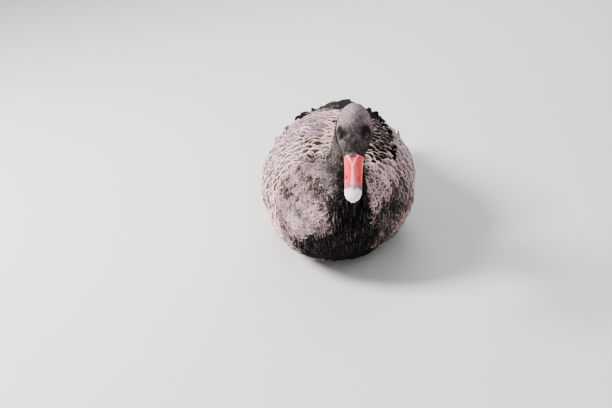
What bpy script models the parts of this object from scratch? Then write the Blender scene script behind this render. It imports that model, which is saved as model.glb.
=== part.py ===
"""A black swan floating at rest, as a life-size still model that sits on its belly.

Metres, +Z up. The bill points towards -Y, the swan's left side is +X, and the origin is the
middle of the flat under the belly. Each named part of the body is its own closed object.
"""
import math

import bmesh
import bpy
import numpy as np

GAP = 0.0003

CULMEN_HEIGHT = 0.0205
TARSUS_LENGTH = 0.092
MIDDLE_TOE = 0.105

EYE_RADIUS = 0.0068
EYE_FORWARD, EYE_UP, EYE_OUT = -0.0400, 0.0165, 0.0186
EYE_RISE, EYE_AHEAD = math.radians(16), math.radians(20)
LID_ANGLE, LID_RADIUS = math.radians(61), 0.0011
NOSTRIL_FORWARD, NOSTRIL_OUT, NOSTRIL_UP = 0.031, 0.0098, 0.0083
NOSTRIL_LENGTH, NOSTRIL_DROP = 0.0105, 0.003
NOSTRIL_RADII = (0.0005, 0.0016, 0.0020, 0.0016, 0.0005)

# The top of the bill where the feathers begin, and how the head is held.
BILL_BASE = np.array([0.0540, -0.3800, 0.3090])
HEAD_PITCH = math.radians(47.5)
HEAD_YAW = math.radians(4.5)

# The body and neck from tail to head: the point of the back (y, z), the point of the belly
# (y, z), the half width, how high between them the widest level lies, and the lean to the left.
TRUNK = (
    ((0.345, 0.137), (0.345, 0.124), 0.050, 0.50, 0.000),
    ((0.290, 0.147), (0.290, 0.119), 0.048, 0.50, 0.000),
    ((0.240, 0.161), (0.235, 0.106), 0.052, 0.52, 0.000),
    ((0.200, 0.177), (0.192, 0.078), 0.073, 0.52, 0.000),
    ((0.150, 0.200), (0.143, 0.043), 0.098, 0.48, 0.000),
    ((0.088, 0.221), (0.088, 0.013), 0.124, 0.45, 0.000),
    ((0.020, 0.232), (0.023, -0.004), 0.144, 0.43, 0.000),
    ((-0.050, 0.233), (-0.045, -0.007), 0.147, 0.42, 0.000),
    ((-0.100, 0.225), (-0.112, -0.003), 0.136, 0.42, 0.000),
    ((-0.132, 0.215), (-0.172, 0.010), 0.119, 0.44, 0.000),
    ((-0.150, 0.209), (-0.222, 0.034), 0.101, 0.47, 0.001),
    ((-0.159, 0.208), (-0.260, 0.072), 0.083, 0.49, 0.003),
    ((-0.162, 0.211), (-0.279, 0.112), 0.066, 0.50, 0.008),
    ((-0.161, 0.216), (-0.274, 0.152), 0.051, 0.50, 0.016),
    ((-0.157, 0.226), (-0.251, 0.187), 0.040, 0.50, 0.024),
    ((-0.154, 0.244), (-0.228, 0.217), 0.033, 0.50, 0.030),
    ((-0.153, 0.267), (-0.212, 0.246), 0.0285, 0.50, 0.035),
    ((-0.160, 0.292), (-0.207, 0.269), 0.0262, 0.50, 0.039),
    ((-0.180, 0.314), (-0.216, 0.285), 0.0250, 0.50, 0.043),
    ((-0.209, 0.330), (-0.233, 0.295), 0.0245, 0.50, 0.047),
    ((-0.241, 0.342), (-0.256, 0.301), 0.0244, 0.50, 0.050),
    ((-0.272, 0.355), (-0.283, 0.305), 0.0256, 0.50, 0.053),
    ((-0.300, 0.368), (-0.309, 0.309), 0.0275, 0.50, 0.056),
)
TRUNK_ROWS = np.array([[*back, *belly, width, level, lean] for back, belly, width, level, lean in TRUNK])
TAIL_ROOT, NECK_ROOT, NECK_BEND, NECK_ARCH, INSIDE_HEAD = 2.0, 13.4, 15.4, 17.4, 22.0
BELLY_SQUARE = 0.86
TORSO_SIDES, TORSO_RINGS, NECK_SIDES = 24, 20, 18

# The head along its own forward axis, from the nape to the feather edge of the bill: forward,
# half width, top, bottom, and how high between them it is widest. Level 0 is the mouth line.
HEAD = np.array([
    (-0.1005, 0.0040, 0.0120, 0.0040, 0.50),
    (-0.0975, 0.0120, 0.0190, -0.0040, 0.48),
    (-0.0905, 0.0205, 0.0265, -0.0120, 0.44),
    (-0.0770, 0.0276, 0.0330, -0.0190, 0.40),
    (-0.0630, 0.0305, 0.0356, -0.0220, 0.38),
    (-0.0510, 0.0303, 0.0352, -0.0222, 0.36),
    (-0.0400, 0.0284, 0.0328, -0.0208, 0.36),
    (-0.0300, 0.0250, 0.0300, -0.0188, 0.37),
    (-0.0195, 0.0212, 0.0268, -0.0165, 0.38),
    (-0.0090, 0.0184, 0.0232, -0.0140, 0.40),
    (0.0000, 0.0166, 0.0209, -0.0120, 0.40),
])
HEAD_SIDES, HEAD_RINGS, HEAD_DOME = 20, 16, 1.18
# The groove of the mouth behind the bill: how far out, forward and up, and its half depth.
MOUTH_GROOVE = (
    (0.0172, 0.003, -0.0006, 0.0010),
    (0.0180, -0.006, -0.0012, 0.0014),
    (0.0196, -0.013, -0.0030, 0.0008),
)

# The upper bill from its base to the nail: forward, half width, ridge height, edge height.
UPPER_BILL = np.array([
    (0.0000, 0.0161, 0.0205, 0.0000),
    (0.0120, 0.0152, 0.0168, -0.0006),
    (0.0260, 0.0147, 0.0124, -0.0010),
    (0.0400, 0.0146, 0.0088, -0.0012),
    (0.0520, 0.0145, 0.0070, -0.0014),
    (0.0600, 0.0131, 0.0060, -0.0018),
    (0.0655, 0.0098, 0.0042, -0.0026),
    (0.0690, 0.0042, 0.0004, -0.0036),
])
# The lower bill: forward, half width, edge height, keel height.
LOWER_BILL = np.array([
    (0.0000, 0.0138, -0.0004, -0.0112),
    (0.0130, 0.0134, -0.0010, -0.0092),
    (0.0300, 0.0130, -0.0014, -0.0072),
    (0.0450, 0.0130, -0.0016, -0.0062),
    (0.0560, 0.0112, -0.0020, -0.0056),
    (0.0625, 0.0060, -0.0032, -0.0048),
])
BILL_SIDES = 16
# The nail at the bill's tip: forward, up and half width.
NAIL = (
    (0.0570, 0.0052, 0.0030),
    (0.0620, 0.0050, 0.0066),
    (0.0665, 0.0022, 0.0064),
    (0.0700, -0.0022, 0.0028),
)
NAIL_FLATNESS = 0.26

WING_ALONG, WING_AROUND = 12, 6
# The folded wing from shoulder to tip: the row of the trunk it lies on, the angle of its lower
# and its upper edge, and how thick it is there.
WING = np.array([
    (11.3, 30.0, 52.0, 0.0040),
    (10.6, 19.0, 66.0, 0.0080),
    (9.4, 8.0, 75.0, 0.0110),
    (8.0, 1.0, 81.0, 0.0130),
    (6.4, -3.0, 84.0, 0.0140),
    (4.9, 0.0, 85.0, 0.0140),
    (3.7, 12.0, 84.0, 0.0120),
    (3.0, 28.0, 78.0, 0.0080),
    (2.6, 44.0, 68.0, 0.0040),
])
WING_SUNK = 0.0040
WING_OVER_TAIL = 0.0110
ARM_SHARE = 0.60

VANE_THICK, SHAFT_THICK, TIP_THINNESS = 0.0006, 0.0012, 0.7
SMALL_VANE = (0.0, 0.40, 0.80, 1.0)
LONG_VANE = (0.0, 0.28, 0.58, 0.86, 1.0)
ROOT_SUNK = 0.0040
VANE_CLEAR, ROOT_SHARE = 0.0012, 0.3
VANE_STEP = 0.004

# The tiers of the folded wing, from the shoulder back: the trunk row of the roots, the share of
# the wing's height where the tier begins and ends, how many, length, width, rise and curl.
COVERTS = (
    (10.80, 0.12, 0.96, 3, 0.050, 0.031, 0.0030, 0.000),
    (9.75, 0.04, 0.99, 4, 0.058, 0.038, 0.0030, 0.000),
    (8.55, 0.02, 0.99, 5, 0.062, 0.048, 0.0035, 0.001),
    (7.30, 0.00, 0.99, 5, 0.068, 0.045, 0.0035, 0.001),
    (6.10, 0.00, 0.97, 6, 0.072, 0.044, 0.0040, 0.002),
)
SECONDARIES = (4.95, 0.02, 0.40, 4, 0.094, 0.027, 0.0035, 0.000)
PRIMARIES = (3.20, 0.34, 0.60, 3, 0.115, 0.018, 0.0020, 0.000)
TERTIALS = (5.10, 0.48, 0.97, 5, 0.118, 0.036, 0.0045, 0.006)
RUFFLED = (4.15, 0.40, 0.92, 4, 0.092, 0.031, 0.0060, 0.013)
LONG_TIERS = ((SECONDARIES, 0.0), (PRIMARIES, 0.0), (TERTIALS, 3.0), (RUFFLED, 4.0))
ROLL = 0.085

# The fans of the tail, the long feathers and the coverts over and under them: how many, how far
# back their roots lie, length, width, height of the roots, droop and share of the fan's spread.
RECTRICES = (10, 0.246, 0.104, 0.024, 0.1395, 0.006, 1.0)
OVER_TAIL = (5, 0.247, 0.062, 0.028, 0.1510, 0.004, 0.85)
UNDER_TAIL = (4, 0.250, 0.078, 0.028, 0.1240, -0.008, 0.85)
TAIL_FAN, TAIL_ROOT_SPREAD, TAIL_ROLL = math.radians(27), 0.020, 0.10
TAIL_ARCH, TAIL_ROUNDING, LEFT_OVER_RIGHT = 0.0060, 0.16, 0.0009
TAIL_BASE_END = 0.9

LEG_OUT = 0.074
HEEL = np.array([0.0, 0.176, 0.0098])
KNEE = np.array([0.006, -0.068, 0.070])
TARSUS_RADIUS = 0.0068
# The tarsus from the toes to the heel, and the shin from the heel to the belly: share and radius.
TARSUS = ((0.0, 0.0068), (0.5, 0.0063), (0.9, 0.0084), (1.04, 0.0064))
SHIN = ((0.0, 0.0070), (0.3, 0.0105), (0.65, 0.0190), (1.0, 0.0260))
FOOT_THICKNESS, TOE_HALF_WIDTH, WEB_SHARE = 0.0032, 0.0028, 0.86
FOOT_HEEL = (0.0075, 0.004)
HOLLOW_AROUND, HOLLOW_HEIGHT, CLAW_ROOM = 0.0022, 0.0140, 5.0
# A toe with its claw, as share of its length, height and radius, and the knuckle behind the toes.
TOE = (
    (0.02, 0.0034, 0.0048),
    (0.50, 0.0026, 0.0040),
    (0.93, 0.0022, 0.0030),
    (1.00, 0.0020, 0.0017),
    (1.08, 0.0008, 0.0005),
)
KNUCKLE = ((0.012, 0.0064, 0.0068), (0.002, 0.0055, 0.0062), (-0.014, 0.0030, 0.0034))
TOE_SPREAD = (-21.0, 3.0, 27.0)
TOE_SHARE = (0.86, 1.0, 0.90)


def clear_scene():
    for obj in list(bpy.data.objects):
        bpy.data.objects.remove(obj)


def finish(name, colour, roughness, metallic=0.0):
    """A plain material of the part's own colour."""
    made = bpy.data.materials.new(name)
    made.use_nodes = True
    shader = made.node_tree.nodes["Principled BSDF"]
    shader.inputs["Base Color"].default_value = (*colour, 1.0)
    shader.inputs["Roughness"].default_value = roughness
    shader.inputs["Metallic"].default_value = metallic
    return made


def new_object(name, verts, faces, material=None):
    """A mesh object with its faces turned outwards."""
    mesh = bpy.data.meshes.new(name)
    mesh.from_pydata([tuple(map(float, v)) for v in verts], [], [tuple(f) for f in faces])
    shape = bmesh.new()
    shape.from_mesh(mesh)
    bmesh.ops.recalc_face_normals(shape, faces=shape.faces)
    if shape.calc_volume(signed=True) < 0:
        bmesh.ops.reverse_faces(shape, faces=shape.faces)
    shape.to_mesh(mesh)
    shape.free()
    obj = bpy.data.objects.new(name, mesh)
    bpy.context.scene.collection.objects.link(obj)
    if material:
        mesh.materials.append(material)
    mesh.shade_smooth()
    mesh.set_sharp_from_angle(angle=math.radians(40))
    return obj


def loft(name, rings, material=None):
    """A closed body through rings of equal count, each end closed to its middle point."""
    rings = [np.asarray(ring, float) for ring in rings]
    count = len(rings[0])
    verts = np.vstack(rings + [rings[0].mean(0), rings[-1].mean(0)])
    first, last = len(verts) - 2, len(verts) - 1
    faces = []
    for i in range(len(rings) - 1):
        for j in range(count):
            a, b = i * count + j, i * count + (j + 1) % count
            faces += [(a, b, b + count), (a, b + count, a + count)]
    end = (len(rings) - 1) * count
    for j in range(count):
        k = (j + 1) % count
        faces += [(first, k, j), (last, end + j, end + k)]
    return new_object(name, verts, faces, material)


def bake_modifier(obj):
    """Replaces the object's mesh by what its modifiers make of it."""
    graph = bpy.context.evaluated_depsgraph_get()
    made = bpy.data.meshes.new_from_object(obj.evaluated_get(graph))
    obj.modifiers.clear()
    obj.data = made


def largest_surface(obj):
    """Keeps the largest closed surface of the mesh, and so fills what fusing sealed in."""
    shape = bmesh.new()
    shape.from_mesh(obj.data)
    seen, groups = set(), []
    for start in shape.verts:
        if start in seen:
            continue
        seen.add(start)
        group, edge = [start], [start]
        while edge:
            vert = edge.pop()
            for link in vert.link_edges:
                other = link.other_vert(vert)
                if other not in seen:
                    seen.add(other)
                    group.append(other)
                    edge.append(other)
        groups.append(group)
    groups.sort(key=len, reverse=True)
    for group in groups[1:]:
        bmesh.ops.delete(shape, geom=group, context="VERTS")
    bmesh.ops.triangulate(shape, faces=shape.faces)
    shape.to_mesh(obj.data)
    shape.free()


def combine(obj, others, operation):
    """One Boolean of the object with all the others, applied, and the others removed."""
    group = bpy.data.collections.new(obj.name + "_group")
    bpy.context.scene.collection.children.link(group)
    for other in others:
        group.objects.link(other)
    step = obj.modifiers.new("combine", "BOOLEAN")
    step.operation = operation
    step.operand_type = "COLLECTION"
    step.collection = group
    step.solver = "MANIFOLD"
    bake_modifier(obj)
    for other in others:
        bpy.data.objects.remove(other)
    bpy.data.collections.remove(group)
    largest_surface(obj)
    obj.data.shade_smooth()
    obj.data.set_sharp_from_angle(angle=math.radians(40))


def blend_rows(rows, at):
    """The smooth curve through the rows, read at a row number that may lie between two."""
    at = min(max(at, 0.0), len(rows) - 1.0)
    i = min(int(at), len(rows) - 2)
    t = at - i
    before, here, after, beyond = (rows[min(max(k, 0), len(rows) - 1)] for k in range(i - 1, i + 3))
    line = 2 * here + (after - before) * t
    bend = (2 * before - 5 * here + 4 * after - beyond) * t ** 2
    return 0.5 * (line + bend + (3 * here - before - 3 * after + beyond) * t ** 3)


def trunk_point(at, angle, grow=0.0):
    """A point of the body's skin: angle 0 is its left side, a right angle up its back."""
    back_y, back_z, belly_y, belly_z, width, level, lean = blend_rows(TRUNK_ROWS, at)
    back, belly = np.array([back_y, back_z]), np.array([belly_y, belly_z])
    height = np.linalg.norm(back - belly)
    axis = (back - belly) / height
    middle = belly + axis * height * level
    c, s = math.cos(angle), math.sin(angle)
    upper = s > 0
    square = 1.0 if upper else BELLY_SQUARE
    reach = height * (1 - level if upper else level)
    x = (width + grow) * math.copysign(abs(c) ** square, c)
    y, z = middle + axis * (reach + grow) * math.copysign(abs(s) ** square, s)
    return np.array([lean + x, y, max(z, -grow)])


def trunk_ring(at, sides, grow=0.0):
    return np.array([trunk_point(at, 2 * math.pi * j / sides, grow) for j in range(sides)])


def trunk_frame(at, angle):
    """A point of the skin, with its directions towards the tail, up around and outwards."""
    step = 1e-3
    point = trunk_point(at, angle)
    back = trunk_point(at - step, angle) - trunk_point(at + step, angle)
    around = trunk_point(at, angle + step) - trunk_point(at, angle - step)
    out = np.cross(back, around)
    out /= np.linalg.norm(out)
    return point, back / np.linalg.norm(back), around / np.linalg.norm(around), out


def run_on(at):
    """The direction in which the body runs on through its section there, towards the head."""
    back_y, back_z, belly_y, belly_z = blend_rows(TRUNK_ROWS, at)[:4]
    length = math.hypot(back_y - belly_y, back_z - belly_z)
    return np.array([0.0, -(back_z - belly_z), back_y - belly_y]) / length


def trunk_piece(name, start, end, count, sides, material, gap_at_start):
    """A stretch of body or neck between two of its sections."""
    rings = [trunk_ring(at, sides) for at in np.linspace(start, end, count)]
    if gap_at_start:
        rings[0] = rings[0] + run_on(start) * GAP
    return loft(name, rings, material)


def head_axes():
    """The head's left, forward and up directions."""
    cp, sp = math.cos(HEAD_PITCH), math.sin(HEAD_PITCH)
    cy, sy = math.cos(HEAD_YAW), math.sin(HEAD_YAW)
    left = np.array([cy, -sy, 0.0])
    forward = np.array([-sy * cp, -cy * cp, -sp])
    up = np.array([-sy * sp, -cy * sp, cp])
    return left, forward, up


HEAD_LEFT, HEAD_FORWARD, HEAD_UP = head_axes()
MOUTH = BILL_BASE - HEAD_UP * CULMEN_HEIGHT


def in_head(left, forward, up):
    """A point given in the head's own directions, measured from the mouth at the bill's base."""
    return MOUTH + HEAD_LEFT * left + HEAD_FORWARD * forward + HEAD_UP * up


def head_ring(row, grow=0.0):
    """A section of the head: domed above its widest level, rounder below."""
    forward, width, top, bottom, level = row
    middle = bottom + (top - bottom) * level
    ring = []
    for j in range(HEAD_SIDES):
        angle = 2 * math.pi * j / HEAD_SIDES
        c, s = math.cos(angle), math.sin(angle)
        dome = HEAD_DOME if s > 0 else 1.0
        reach = top - middle if s > 0 else middle - bottom
        out = (width + grow) * math.copysign(abs(c) ** dome, c)
        ring.append(in_head(out, forward, middle + (reach + grow) * s))
    return np.array(ring)


def head_form(name, grow=0.0, material=None):
    rings = [head_ring(blend_rows(HEAD, at), grow) for at in np.linspace(0, len(HEAD) - 1, HEAD_RINGS)]
    rings[0] = rings[0] - HEAD_FORWARD * grow
    return loft(name, rings, material)


def lid(side):
    """The rim of an eye's lids, a ring round the eyeball."""
    middle, look = eye_place(side)
    across = np.cross(look, HEAD_UP)
    across /= np.linalg.norm(across)
    upward = np.cross(across, look)
    ring_sides, rim_sides = 12, 6
    verts, faces = [], []
    for i in range(ring_sides):
        angle = 2 * math.pi * i / ring_sides
        flat = across * math.cos(angle) + upward * math.sin(angle)
        core = middle + EYE_RADIUS * (flat * math.sin(LID_ANGLE) + look * math.cos(LID_ANGLE))
        thick = LID_RADIUS * (1.25 if math.sin(angle) > 0.3 else 1.0)
        for j in range(rim_sides):
            turn = 2 * math.pi * j / rim_sides
            verts.append(core + thick * (flat * math.cos(turn) + look * math.sin(turn)))
            a, b = i * rim_sides + j, i * rim_sides + (j + 1) % rim_sides
            c, d = (a + rim_sides) % (ring_sides * rim_sides), (b + rim_sides) % (ring_sides * rim_sides)
            faces += [(a, b, d), (a, d, c)]
    return new_object("lid", verts, faces)


def mouth_corner(side):
    """The groove that carries the line of the mouth back into the cheek."""
    path = [in_head(side * out, forward, up) for out, forward, up, depth in MOUTH_GROOVE]
    return tube("mouth", path, [depth for out, forward, up, depth in MOUTH_GROOVE], 6)


def make_head(material):
    head = head_form("head", 0.0, material)
    combine(head, [lid(1), lid(-1)], "UNION")
    combine(head, [eye_ball("socket", side, EYE_RADIUS + GAP) for side in (1, -1)], "DIFFERENCE")
    combine(head, [mouth_corner(1), mouth_corner(-1)], "DIFFERENCE")
    return head


def make_neck(material):
    """The neck in three lengths, the last one running up to the head."""
    trunk_piece("neck_lower", NECK_ROOT, NECK_BEND, 6, NECK_SIDES, material, True)
    trunk_piece("neck_middle", NECK_BEND, NECK_ARCH, 6, NECK_SIDES, material, True)
    upper = trunk_piece("neck_upper", NECK_ARCH, INSIDE_HEAD, 12, NECK_SIDES, material, True)
    combine(upper, [head_form("grown_head", GAP)], "DIFFERENCE")


def eye_place(side):
    """The middle of an eye and the way it looks out."""
    level = math.cos(EYE_RISE)
    look = HEAD_LEFT * side * level * math.cos(EYE_AHEAD)
    look = look + HEAD_FORWARD * level * math.sin(EYE_AHEAD) + HEAD_UP * math.sin(EYE_RISE)
    return in_head(side * EYE_OUT, EYE_FORWARD, EYE_UP), look


def ball(name, middle, radius, sides, rows, look, material=None):
    """A sphere whose poles lie along the way it looks."""
    across = np.cross(look, HEAD_UP)
    across /= np.linalg.norm(across)
    upward = np.cross(across, look)
    rings = []
    for i in range(1, rows):
        turn = math.pi * i / rows
        ring = []
        for j in range(sides):
            angle = 2 * math.pi * j / sides
            flat = across * math.cos(angle) + upward * math.sin(angle)
            ring.append(middle + radius * (flat * math.sin(turn) - look * math.cos(turn)))
        rings.append(np.array(ring))
    sphere = loft(name, rings, material)
    verts = sphere.data.vertices
    verts[len(verts) - 2].co = middle - look * radius
    verts[len(verts) - 1].co = middle + look * radius
    return sphere


def eye_ball(name, side, radius, material=None):
    middle, look = eye_place(side)
    return ball(name, middle, radius, 12, 8, look, material)


def upper_bill_ring(row):
    forward, width, ridge, edge = row
    ring = []
    for j in range(BILL_SIDES):
        angle = 2 * math.pi * j / BILL_SIDES
        c, s = math.cos(angle), math.sin(angle)
        side = width * math.copysign(abs(c) ** 0.8, c)
        up = edge + (ridge - edge) * s if s > 0 else edge - 0.0004 * s
        ring.append(in_head(side, forward + GAP, up))
    return np.array(ring)


def lower_bill_ring(row):
    forward, width, edge, keel = row
    ring = []
    for j in range(BILL_SIDES):
        angle = 2 * math.pi * j / BILL_SIDES
        c, s = math.cos(angle), math.sin(angle)
        side = width * math.copysign(abs(c) ** 0.8, c)
        up = edge - GAP - 0.0006 * s if s > 0 else edge - GAP - 0.0006 + (edge - keel) * s
        ring.append(in_head(side, forward + GAP, up))
    return np.array(ring)


def nostril(side):
    """A long oval opening beside the ridge."""
    path = []
    for share in (-0.5, -0.25, 0.0, 0.25, 0.5):
        forward, up = NOSTRIL_FORWARD + share * NOSTRIL_LENGTH, NOSTRIL_UP - share * NOSTRIL_DROP
        path.append(in_head(side * NOSTRIL_OUT, forward, up))
    return tube("nostril", path, NOSTRIL_RADII, 8)


def make_bill(material):
    places = np.linspace(0, len(UPPER_BILL) - 1, 13)
    upper = loft("bill_upper", [upper_bill_ring(blend_rows(UPPER_BILL, at)) for at in places], material)
    path = [in_head(0, forward, up) for forward, up, radius in NAIL]
    nail = tube("nail", path, [radius for forward, up, radius in NAIL], 10, NAIL_FLATNESS)
    combine(upper, [nail], "UNION")
    combine(upper, [nostril(1), nostril(-1)], "DIFFERENCE")
    places = np.linspace(0, len(LOWER_BILL) - 1, 9)
    loft("bill_lower", [lower_bill_ring(blend_rows(LOWER_BILL, at)) for at in places], material)


def tail_vane(spread, length, width, root_y, height, droop, shares):
    """A feather of the tail, fanned out from the rump."""
    turn = spread * TAIL_FAN
    ahead = np.array([math.sin(turn), math.cos(turn), 0.0])
    across = np.array([math.cos(turn), -math.sin(turn), 0.0])
    up = np.array([0.0, 0.0, 1.0])
    root = np.array([spread * TAIL_ROOT_SPREAD, root_y, height])
    frames = [(root + ahead * length * t - up * droop * t ** 1.5, ahead, across, up) for t in shares]
    widths = [width * vane_width(t) for t in shares]
    return vane("vane", frames, widths, [spread * TAIL_ROLL] * len(shares))


def make_tail(material):
    """The rump's end with the fan of tail feathers, and the coverts over and under it."""
    rings = [trunk_ring(at, 20) for at in np.linspace(TAIL_ROOT, TAIL_BASE_END, 7)]
    rings[0] = rings[0] - run_on(TAIL_ROOT) * GAP
    tail = loft("tail", rings, material)
    vanes = []
    for fan in (RECTRICES, OVER_TAIL, UNDER_TAIL):
        count, root_y, length, width, height, droop, share = fan
        for k in range(count):
            spread = (2 * (k + 0.5) / count - 1) * share
            rise = height - TAIL_ARCH * abs(spread) + (LEFT_OVER_RIGHT if spread > 0 else 0.0)
            reach = length * (1 - TAIL_ROUNDING * spread ** 2)
            shares = LONG_VANE if fan is RECTRICES else SMALL_VANE
            vanes.append(tail_vane(spread, reach, width, root_y, rise, droop, shares))
    combine(tail, vanes, "UNION")
    return tail


def over_tail(at):
    """How far behind the torso the wing lies at a row, where it lifts clear of the tail."""
    return min(max((TAIL_ROOT + 0.9 - at) / 0.9, 0.0), 1.0)


def arm_lift(at, v, thick):
    """How high the arm of the wing stands out of the body, under its feathers."""
    return over_tail(at) * WING_OVER_TAIL + 0.0010 + ARM_SHARE * thick * (1 - abs(2 * v - 1) ** 3)


def wing_point(side, u, v, inner):
    """A point of the folded wing, from shoulder to tip and from its lower to its upper edge."""
    at, low, high, thick = blend_rows(WING, u * (len(WING) - 1))
    point, back, around, out = trunk_frame(at, math.radians(low + (high - low) * v))
    lift = over_tail(at) * (WING_SUNK + WING_OVER_TAIL) - WING_SUNK if inner else arm_lift(at, v, thick)
    point = point + out * lift
    return np.array([side * max(point[0], 0.002), point[1], point[2]])


def wing_row(at):
    """The wing's lower and upper angle and its thickness over a row of the trunk."""
    return [np.interp(at, WING[::-1, 0], WING[::-1, k]) for k in (1, 2, 3)]


def vane(name, frames, widths, rolls):
    """A feather: a thin web along the frames, in a long one with a thicker shaft."""
    rings = []
    thins = [1.0] * (len(frames) - 1) + [TIP_THINNESS]
    for (point, along, across, out), width, thin, roll in zip(frames, widths, thins, rolls):
        web = across * math.cos(roll) - out * math.sin(roll)
        face = out * math.cos(roll) + across * math.sin(roll)
        edge, shaft = VANE_THICK * thin / 2, SHAFT_THICK * thin / 2
        low, high = point - web * width / 2, point + web * width / 2
        ring = [low + face * edge, point + face * shaft, high + face * edge,
                high - face * edge, point - face * shaft, low - face * edge]
        if len(frames) < len(LONG_VANE):
            ring = [ring[k] for k in (0, 2, 3, 5)]
        rings.append(np.array(ring))
    return loft(name, rings)


VANE_WIDTHS = ((0.0, 0.55), (0.25, 0.84), (0.5, 1.0), (0.72, 0.98), (0.86, 0.78), (0.94, 0.50), (1.0, 0.14))


def vane_width(share):
    """How wide a feather with a rounded tip is along its length."""
    places, widths = zip(*VANE_WIDTHS)
    return float(np.interp(share, places, widths))


def wing_vane(side, at, v, length, width, rise, curl, turn, twist, shares):
    """A feather of the folded wing, from its root in the arm along the wing towards the tail."""
    low, high, thick = wing_row(at)
    angle = math.radians(low + (high - low) * v)
    base = arm_lift(at, v, thick) - ROOT_SUNK
    frames, walked = [], 0.0
    for share in shares:
        while walked < share * length - 1e-6:
            step = min(VANE_STEP, share * length - walked)
            here = trunk_point(at, angle)
            row_step = np.linalg.norm(trunk_point(at - 0.01, angle) - here) / 0.01
            turn_step = np.linalg.norm(trunk_point(at, angle + 0.01) - here) / 0.01
            at -= step * math.cos(turn) / row_step
            angle += step * math.sin(turn) / turn_step
            walked += step
        point, back, around, out = trunk_frame(at, angle)
        low, high, thick = wing_row(at)
        place = min(max((math.degrees(angle) - low) / max(high - low, 1.0), 0.0), 1.0)
        lift = base + rise * share + curl * share ** 3
        if share > ROOT_SHARE:
            above = VANE_CLEAR + ROLL * width / 2 + rise * ROOT_SHARE * share
            lift = max(lift, arm_lift(at, place, thick) + above + curl * share ** 3)
        frames.append((point + out * lift, back, around, out))
    flip = np.array([side, 1.0, 1.0])
    frames = [tuple(part * flip for part in frame) for frame in frames]
    widths = [width * vane_width(share) for share in shares]
    rolls = [ROLL + twist * share for share in shares]
    return vane("vane", frames, widths, rolls)


def wing_tier(side, tier, shares, draw, ruffle):
    """One tier of feathers, from the lower edge of the wing to the upper, each a little different."""
    at, start, end, count, length, width, rise, curl = tier
    made = []
    for k in range(count):
        v = start + (end - start) * (k + 0.5) / count
        root = at + draw.uniform(-0.10, 0.10)
        size = (length * draw.uniform(0.93, 1.07), width * draw.uniform(0.95, 1.05))
        lifted = (rise * draw.uniform(0.9, 1.1), curl * draw.uniform(0.5, 1.4))
        turned = (draw.uniform(-0.05, 0.05) * (1 + ruffle), draw.uniform(-0.12, 0.12) * ruffle)
        made.append(wing_vane(side, root, v, *size, *lifted, *turned, shares))
    return made


def make_wing(name, side, material):
    us, vs = np.linspace(0, 1, WING_ALONG), np.linspace(0, 1, WING_AROUND)
    outer = [[wing_point(side, u, v, False) for v in vs] for u in us]
    inner = [[wing_point(side, u, v, True) for v in vs[::-1]] for u in us]
    wing = loft(name, [np.array(o + i) for o, i in zip(outer, inner)], material)
    draw = np.random.default_rng(21 + side)
    vanes = []
    for tier in COVERTS:
        vanes += wing_tier(side, tier, SMALL_VANE, draw, 0.0)
    for tier, ruffle in LONG_TIERS:
        vanes += wing_tier(side, tier, LONG_VANE, draw, ruffle)
    combine(wing, vanes, "UNION")
    combine(wing, [grown_torso()], "DIFFERENCE")
    combine(wing, [other_side(side)], "DIFFERENCE")
    return wing


def other_side(side):
    """A block that holds the other side of the body, up to the gap beside the midline."""
    middle, far = side * GAP / 2, -side * 0.4
    low, high = min(middle, far), max(middle, far)
    return plate("other_side", [(low, -0.6), (high, -0.6), (high, 0.6), (low, 0.6)], -0.1, 0.5)


def grown_torso():
    """The torso with the gap added all round, which cuts what lies against it."""
    places = np.linspace(TAIL_ROOT, NECK_ROOT, TORSO_RINGS)
    return loft("grown_torso", [trunk_ring(at, TORSO_SIDES, GAP) for at in places])


def tube(name, points, radii, sides, flat=1.0, material=None):
    """A round body along a path, closed at both ends."""
    points = [np.asarray(p, float) for p in points]
    rings = []
    for i, point in enumerate(points):
        ahead = points[min(i + 1, len(points) - 1)] - points[max(i - 1, 0)]
        ahead /= np.linalg.norm(ahead)
        across = np.cross(ahead, (0.0, 0.0, 1.0))
        across /= np.linalg.norm(across)
        upward = np.cross(across, ahead)
        ring = []
        for j in range(sides):
            angle = 2 * math.pi * j / sides
            turned = across * math.cos(angle) + upward * flat * math.sin(angle)
            ring.append(point + turned * radii[i])
        rings.append(np.array(ring))
    return loft(name, rings, material)


def tarsus_form(name, side, grow=0.0, material=None):
    """The lower leg, laid along the floor from the heel forward."""
    heel = HEEL + (side * LEG_OUT, 0, 0)
    toes = heel + (0, -TARSUS_LENGTH - 0.005, -HEEL[2] + TARSUS_RADIUS)
    path = [toes + (heel - toes) * share for share, radius in TARSUS]
    return tube(name, path, [radius + grow for share, radius in TARSUS], 12, 1.0, material)


def make_leg(word, side, skin, plumage):
    """The tarsus on the floor, and the feathered shin from the heel up to the belly."""
    tarsus = tarsus_form("tarsus_" + word, side, 0.0, skin)
    combine(tarsus, [half_space(-1, ankle_line() + GAP)], "DIFFERENCE")
    combine(tarsus, [floor_block()], "DIFFERENCE")
    heel = HEEL + (side * LEG_OUT, -0.002, 0.004)
    knee = heel + KNEE * (side, 1, 1)
    path = [heel + (knee - heel) * share for share, radius in SHIN]
    shin = tube("shin_" + word, path, [radius for share, radius in SHIN], 14, 1.0, plumage)
    combine(shin, [grown_torso(), tarsus_form("grown_tarsus", side, GAP)], "DIFFERENCE")


def ankle_line():
    """How far back the toes end and the tarsus begins."""
    return HEEL[1] - TARSUS_LENGTH + 0.0045


def half_space(direction, y):
    """A block that holds everything near the foot ahead of the line y, or behind it."""
    low, high = min(y, y + 0.2 * direction), max(y, y + 0.2 * direction)
    return plate("half_space", [(-0.3, low), (0.3, low), (0.3, high), (-0.3, high)], -0.1, 0.1)


def floor_block():
    return plate("floor", [(-1, -1), (1, -1), (1, 1), (-1, 1)], -0.1, 0.0)


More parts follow.
